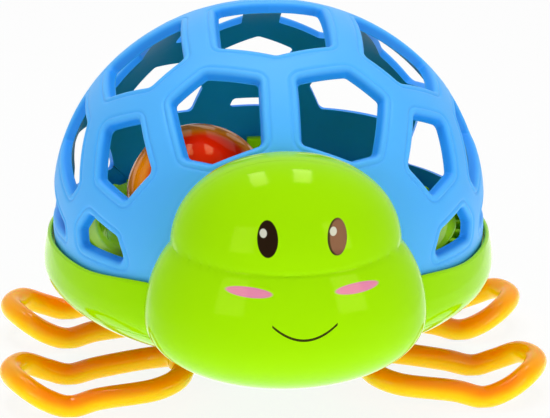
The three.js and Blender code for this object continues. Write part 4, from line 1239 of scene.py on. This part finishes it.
def makeFaceGreen(v):
    material, tree, shader, skin, place = startFinish("headGreen", greenFinish)
    link = tree.links.new
    calc = calcFor(tree)

    def oval(spec, edge):
        node = addNode(tree, "ShaderNodeGroup", node_tree=inkAndReflectionSpot)
        link(place.outputs["Object"], node.inputs["Place"])
        values = {"Side": spec["side"] * mm, "Height": spec["height"] * mm,
                  "Half Width": spec["halfWidth"] * mm, "Half Height": spec["halfHeight"] * mm,
                  "Tilt": math.radians(spec.get("tilt", 0)), "Edge": edge}
        for key, value in values.items():
            node.inputs[key].default_value = value
        return node.outputs["Mask"]

    colour = skin.outputs["Colour"]
    inkAndReflection = (("cheek", v["cheeks"]), ("eye", v["eyes"]), ("eyeReflection", [v["eyeReflection"]]), ("glint", v["glints"]))
    for kind, specs in inkAndReflection:
        for spec in specs:
            colour = layColour(tree, oval(spec, v[kind + "Edge"]), colour, v[kind + "Colour"])
    split = addNode(tree, "ShaderNodeSeparateXYZ")
    link(place.outputs["Object"], split.inputs[0])
    across = calc("SUBTRACT", split.outputs[0], v["mouthSide"] * mm)
    curve = calc("MULTIPLY", calc("MULTIPLY", across, across), v["mouthCurve"] / mm)
    above = calc("SUBTRACT", split.outputs[2], v["mouthHeight"] * mm)
    line = calc("ABSOLUTE", calc("SUBTRACT", above, curve))
    stroke = calc("LESS_THAN", line, v["mouthWidth"] / 2 * mm)
    ends = calc("LESS_THAN", calc("ABSOLUTE", across), v["mouthHalf"] * mm)
    colour = layColour(tree, calc("MULTIPLY", stroke, ends), colour, v["mouthColour"])
    link(colour, shader.inputs["Base Color"])
    return material


headGreen = makeFaceGreen(faceInk)
finishPiece(headFront, headGreen, "toy", "body_green", "head_front")
finishPiece(headBackHalf, bodyGreen, "toy", "body_green", "head_back")
print("face printed")

# Ball and beads
ballForm = dict(radius=22.5, wall=1.8, lap=0.75, lapHeight=1.0, gap=0.3, sides=96, bands=28, sharp=40,
                paintedShadeTurn=4, paintedShadeRise=27, paintedShadeFrom=46, paintedShadeTo=58)
beadForm = dict(radius=3.2, subdivisions=3)
ballX, ballY, _ = boxMiddle("ball_upper")
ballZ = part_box("ball_upper")[1][2] / mm - ballForm["radius"]


def besideAxis(x, y, z):
    return x + ballX, y + ballY, z


def makeBallHalf(name, v, sign):
    inside = v["radius"] - v["wall"]
    lap = v["radius"] - v["lap"]
    start = math.asin(v["gap"] / 2 / v["radius"])
    rise = v["lapHeight"] + (v["gap"] if sign > 0 else 0)
    innerStart = sign * math.asin(rise / inside)
    outerAngles = spread(math.pi / 2, start, v["bands"])
    innerAngles = spread(innerStart, math.pi / 2, v["bands"])
    outer = [(v["radius"] * math.cos(a), v["radius"] * math.sin(a)) for a in outerAngles]
    inner = [(inside * math.cos(a), inside * math.sin(a)) for a in innerAngles]
    if sign > 0:
        step = [(lap, v["gap"] / 2), (lap, rise)]
    else:
        step = [(lap - v["gap"], v["gap"] / 2), (lap - v["gap"], -rise)]
    outer[0], inner[-1] = (0, v["radius"]), (0, inside)
    profile = [(r, sign * z + ballZ) for r, z in outer + step + inner]
    return revolved(profile, v["sides"], name, besideAxis, v["sharp"])


def markPaintedShadeSide(piece, v):
    # painted shade: red on the side that faces forward at rest, for the darker look through the clear middle,
    # and plain amber round it
    paintedShade = piece.data.attributes.new("paintedShadeSide", "FLOAT", "POINT")
    turn, rise = math.radians(v["paintedShadeTurn"]), math.radians(v["paintedShadeRise"])
    towards = Vector((math.sin(turn) * math.cos(rise), -math.cos(turn) * math.cos(rise), math.sin(rise)))
    middle = Vector((ballX * mm, axisY + ballY * mm, ballZ * mm))
    for i, vert in enumerate(piece.data.vertices):
        aside = math.degrees(towards.angle(vert.co - middle))
        paintedShade.data[i].value = 1 - ease(v["paintedShadeFrom"], v["paintedShadeTo"], aside)


for name, sign, node in (("ballTop", 1, "ball_upper"), ("ballBottom", -1, "ball_lower")):
    half = makeBallHalf(name, ballForm, sign)
    markPaintedShadeSide(half, ballForm)
    finishPiece(half, ballAmber, "ball", "ball_clear", node)


def makeBeadTree():
    tree, put, take = nodeTree("looseBeads", [("Bead Radius", "f"), ("Subdivisions", "i"), ("Material", "m")])
    link = tree.links.new
    bead = addNode(tree, "GeometryNodeMeshIcoSphere")
    link(put.outputs["Bead Radius"], bead.inputs["Radius"])
    link(put.outputs["Subdivisions"], bead.inputs["Subdivisions"])
    endTree(tree, put, take, bead.outputs["Mesh"])
    return tree


beadNodes = [f"bead_{i}" for i in range(1, 8)]
beadSpots = [boxMiddle(node) for node in beadNodes]
beadValues = {"Bead Radius": beadForm["radius"] * mm, "Subdivisions": beadForm["subdivisions"],
              "Material": beadYellow}
looseBeads = runTree(makeBeadTree(), "looseBeads", beadSpots, beadValues)
finishPiece(looseBeads, beadYellow, "beads", "bead_yellow", *beadNodes)
print("ball and beads made")

# Stage
stage = dict(floorSize=6.0, floorDrop=0.0004, floorColour=(0.94, 0.94, 0.94, 1), floorRoughness=0.9,
             floorGloss=0.1, cameraWhite=0.88, worldLight=0.4)


def backgroundRays(tree):
    # 1 for the rays that show the background: seen, mirrored or through clear plastic
    path = addNode(tree, "ShaderNodeLightPath").outputs
    calc = calcFor(tree)
    seen = calc("MAXIMUM", path["Is Camera Ray"], path["Is Glossy Ray"])
    return calc("MAXIMUM", seen, path["Is Transmission Ray"])


def makeFloor(v):
    half = v["floorSize"] / 2
    corners = [(-half, -half), (half, -half), (half, half), (-half, half)]
    mesh = bpy.data.meshes.new("paleFloor")
    mesh.from_pydata([(x, y, -v["floorDrop"]) for x, y in corners], [], [(0, 1, 2, 3)])
    floor = bpy.data.objects.new("paleFloor", mesh)
    scene.collection.objects.link(floor)
    material = bpy.data.materials.new("paleFloor")
    material.use_nodes = True
    tree = material.node_tree
    shader = tree.nodes["Principled BSDF"]
    shader.inputs["Base Color"].default_value = v["floorColour"]
    shader.inputs["Roughness"].default_value = v["floorRoughness"]
    shader.inputs["Specular IOR Level"].default_value = v["floorGloss"]
    white = addNode(tree, "ShaderNodeEmission")
    white.inputs["Strength"].default_value = 1.0
    share = calcFor(tree)("MULTIPLY", backgroundRays(tree), v["cameraWhite"])
    mix = addNode(tree, "ShaderNodeMixShader")
    for value, socket in zip((share, shader.outputs[0], white.outputs[0]), mix.inputs):
        tree.links.new(value, socket)
    tree.links.new(mix.outputs[0], tree.nodes["Material Output"].inputs["Surface"])
    mesh.materials.append(material)


def makeWorld(v):
    world = bpy.data.worlds.new("studio")
    scene.world = world
    world.use_nodes = True
    tree = world.node_tree
    ground = tree.nodes["Background"]
    ground.inputs["Color"].default_value = (1, 1, 1, 1)
    level = addNode(tree, "ShaderNodeMapRange")
    level.inputs["To Min"].default_value = v["worldLight"]
    level.inputs["To Max"].default_value = 1.0
    tree.links.new(backgroundRays(tree), level.inputs["Value"])
    tree.links.new(level.outputs[0], ground.inputs["Strength"])


makeFloor(stage)
makeWorld(stage)

lamps = [
    dict(name="overheadLeft", at=(-0.245, 0.2, 1.09), aim=(-0.245, 0.2, 0.0), size=(0.19, 0.54), power=3.2),
    dict(name="overheadRight", at=(0.215, 0.23, 1.09), aim=(0.215, 0.23, 0.0), size=(0.19, 0.54), power=3.2),
    dict(name="sideLeft", at=(-0.66, -1.08, 0.2), aim=(0.0, -0.08, 0.06), size=(0.42, 0.85), power=4.4),
    dict(name="sideRight", at=(0.76, -0.98, 0.24), aim=(0.0, -0.08, 0.06), size=(0.42, 0.85), power=5.6),
    dict(name="lightTable", at=(0.0, 0.0, -0.0002), aim=(0.0, 0.0, 1.0), size=(0.42, 0.42), power=0.26)]


def makeLamps(specs):
    for v in specs:
        data = bpy.data.lights.new(v["name"], "AREA")
        data.shape = "RECTANGLE"
        data.size, data.size_y = v["size"]
        data.energy = v["power"]
        lamp = bpy.data.objects.new(v["name"], data)
        lamp.location = v["at"]
        lamp.rotation_euler = (Vector(v["aim"]) - Vector(v["at"])).to_track_quat("-Z", "Y").to_euler()
        lamp.visible_camera = False
        scene.collection.objects.link(lamp)


makeLamps(lamps)
scene.view_settings.view_transform = "Standard"
print("stage lit")
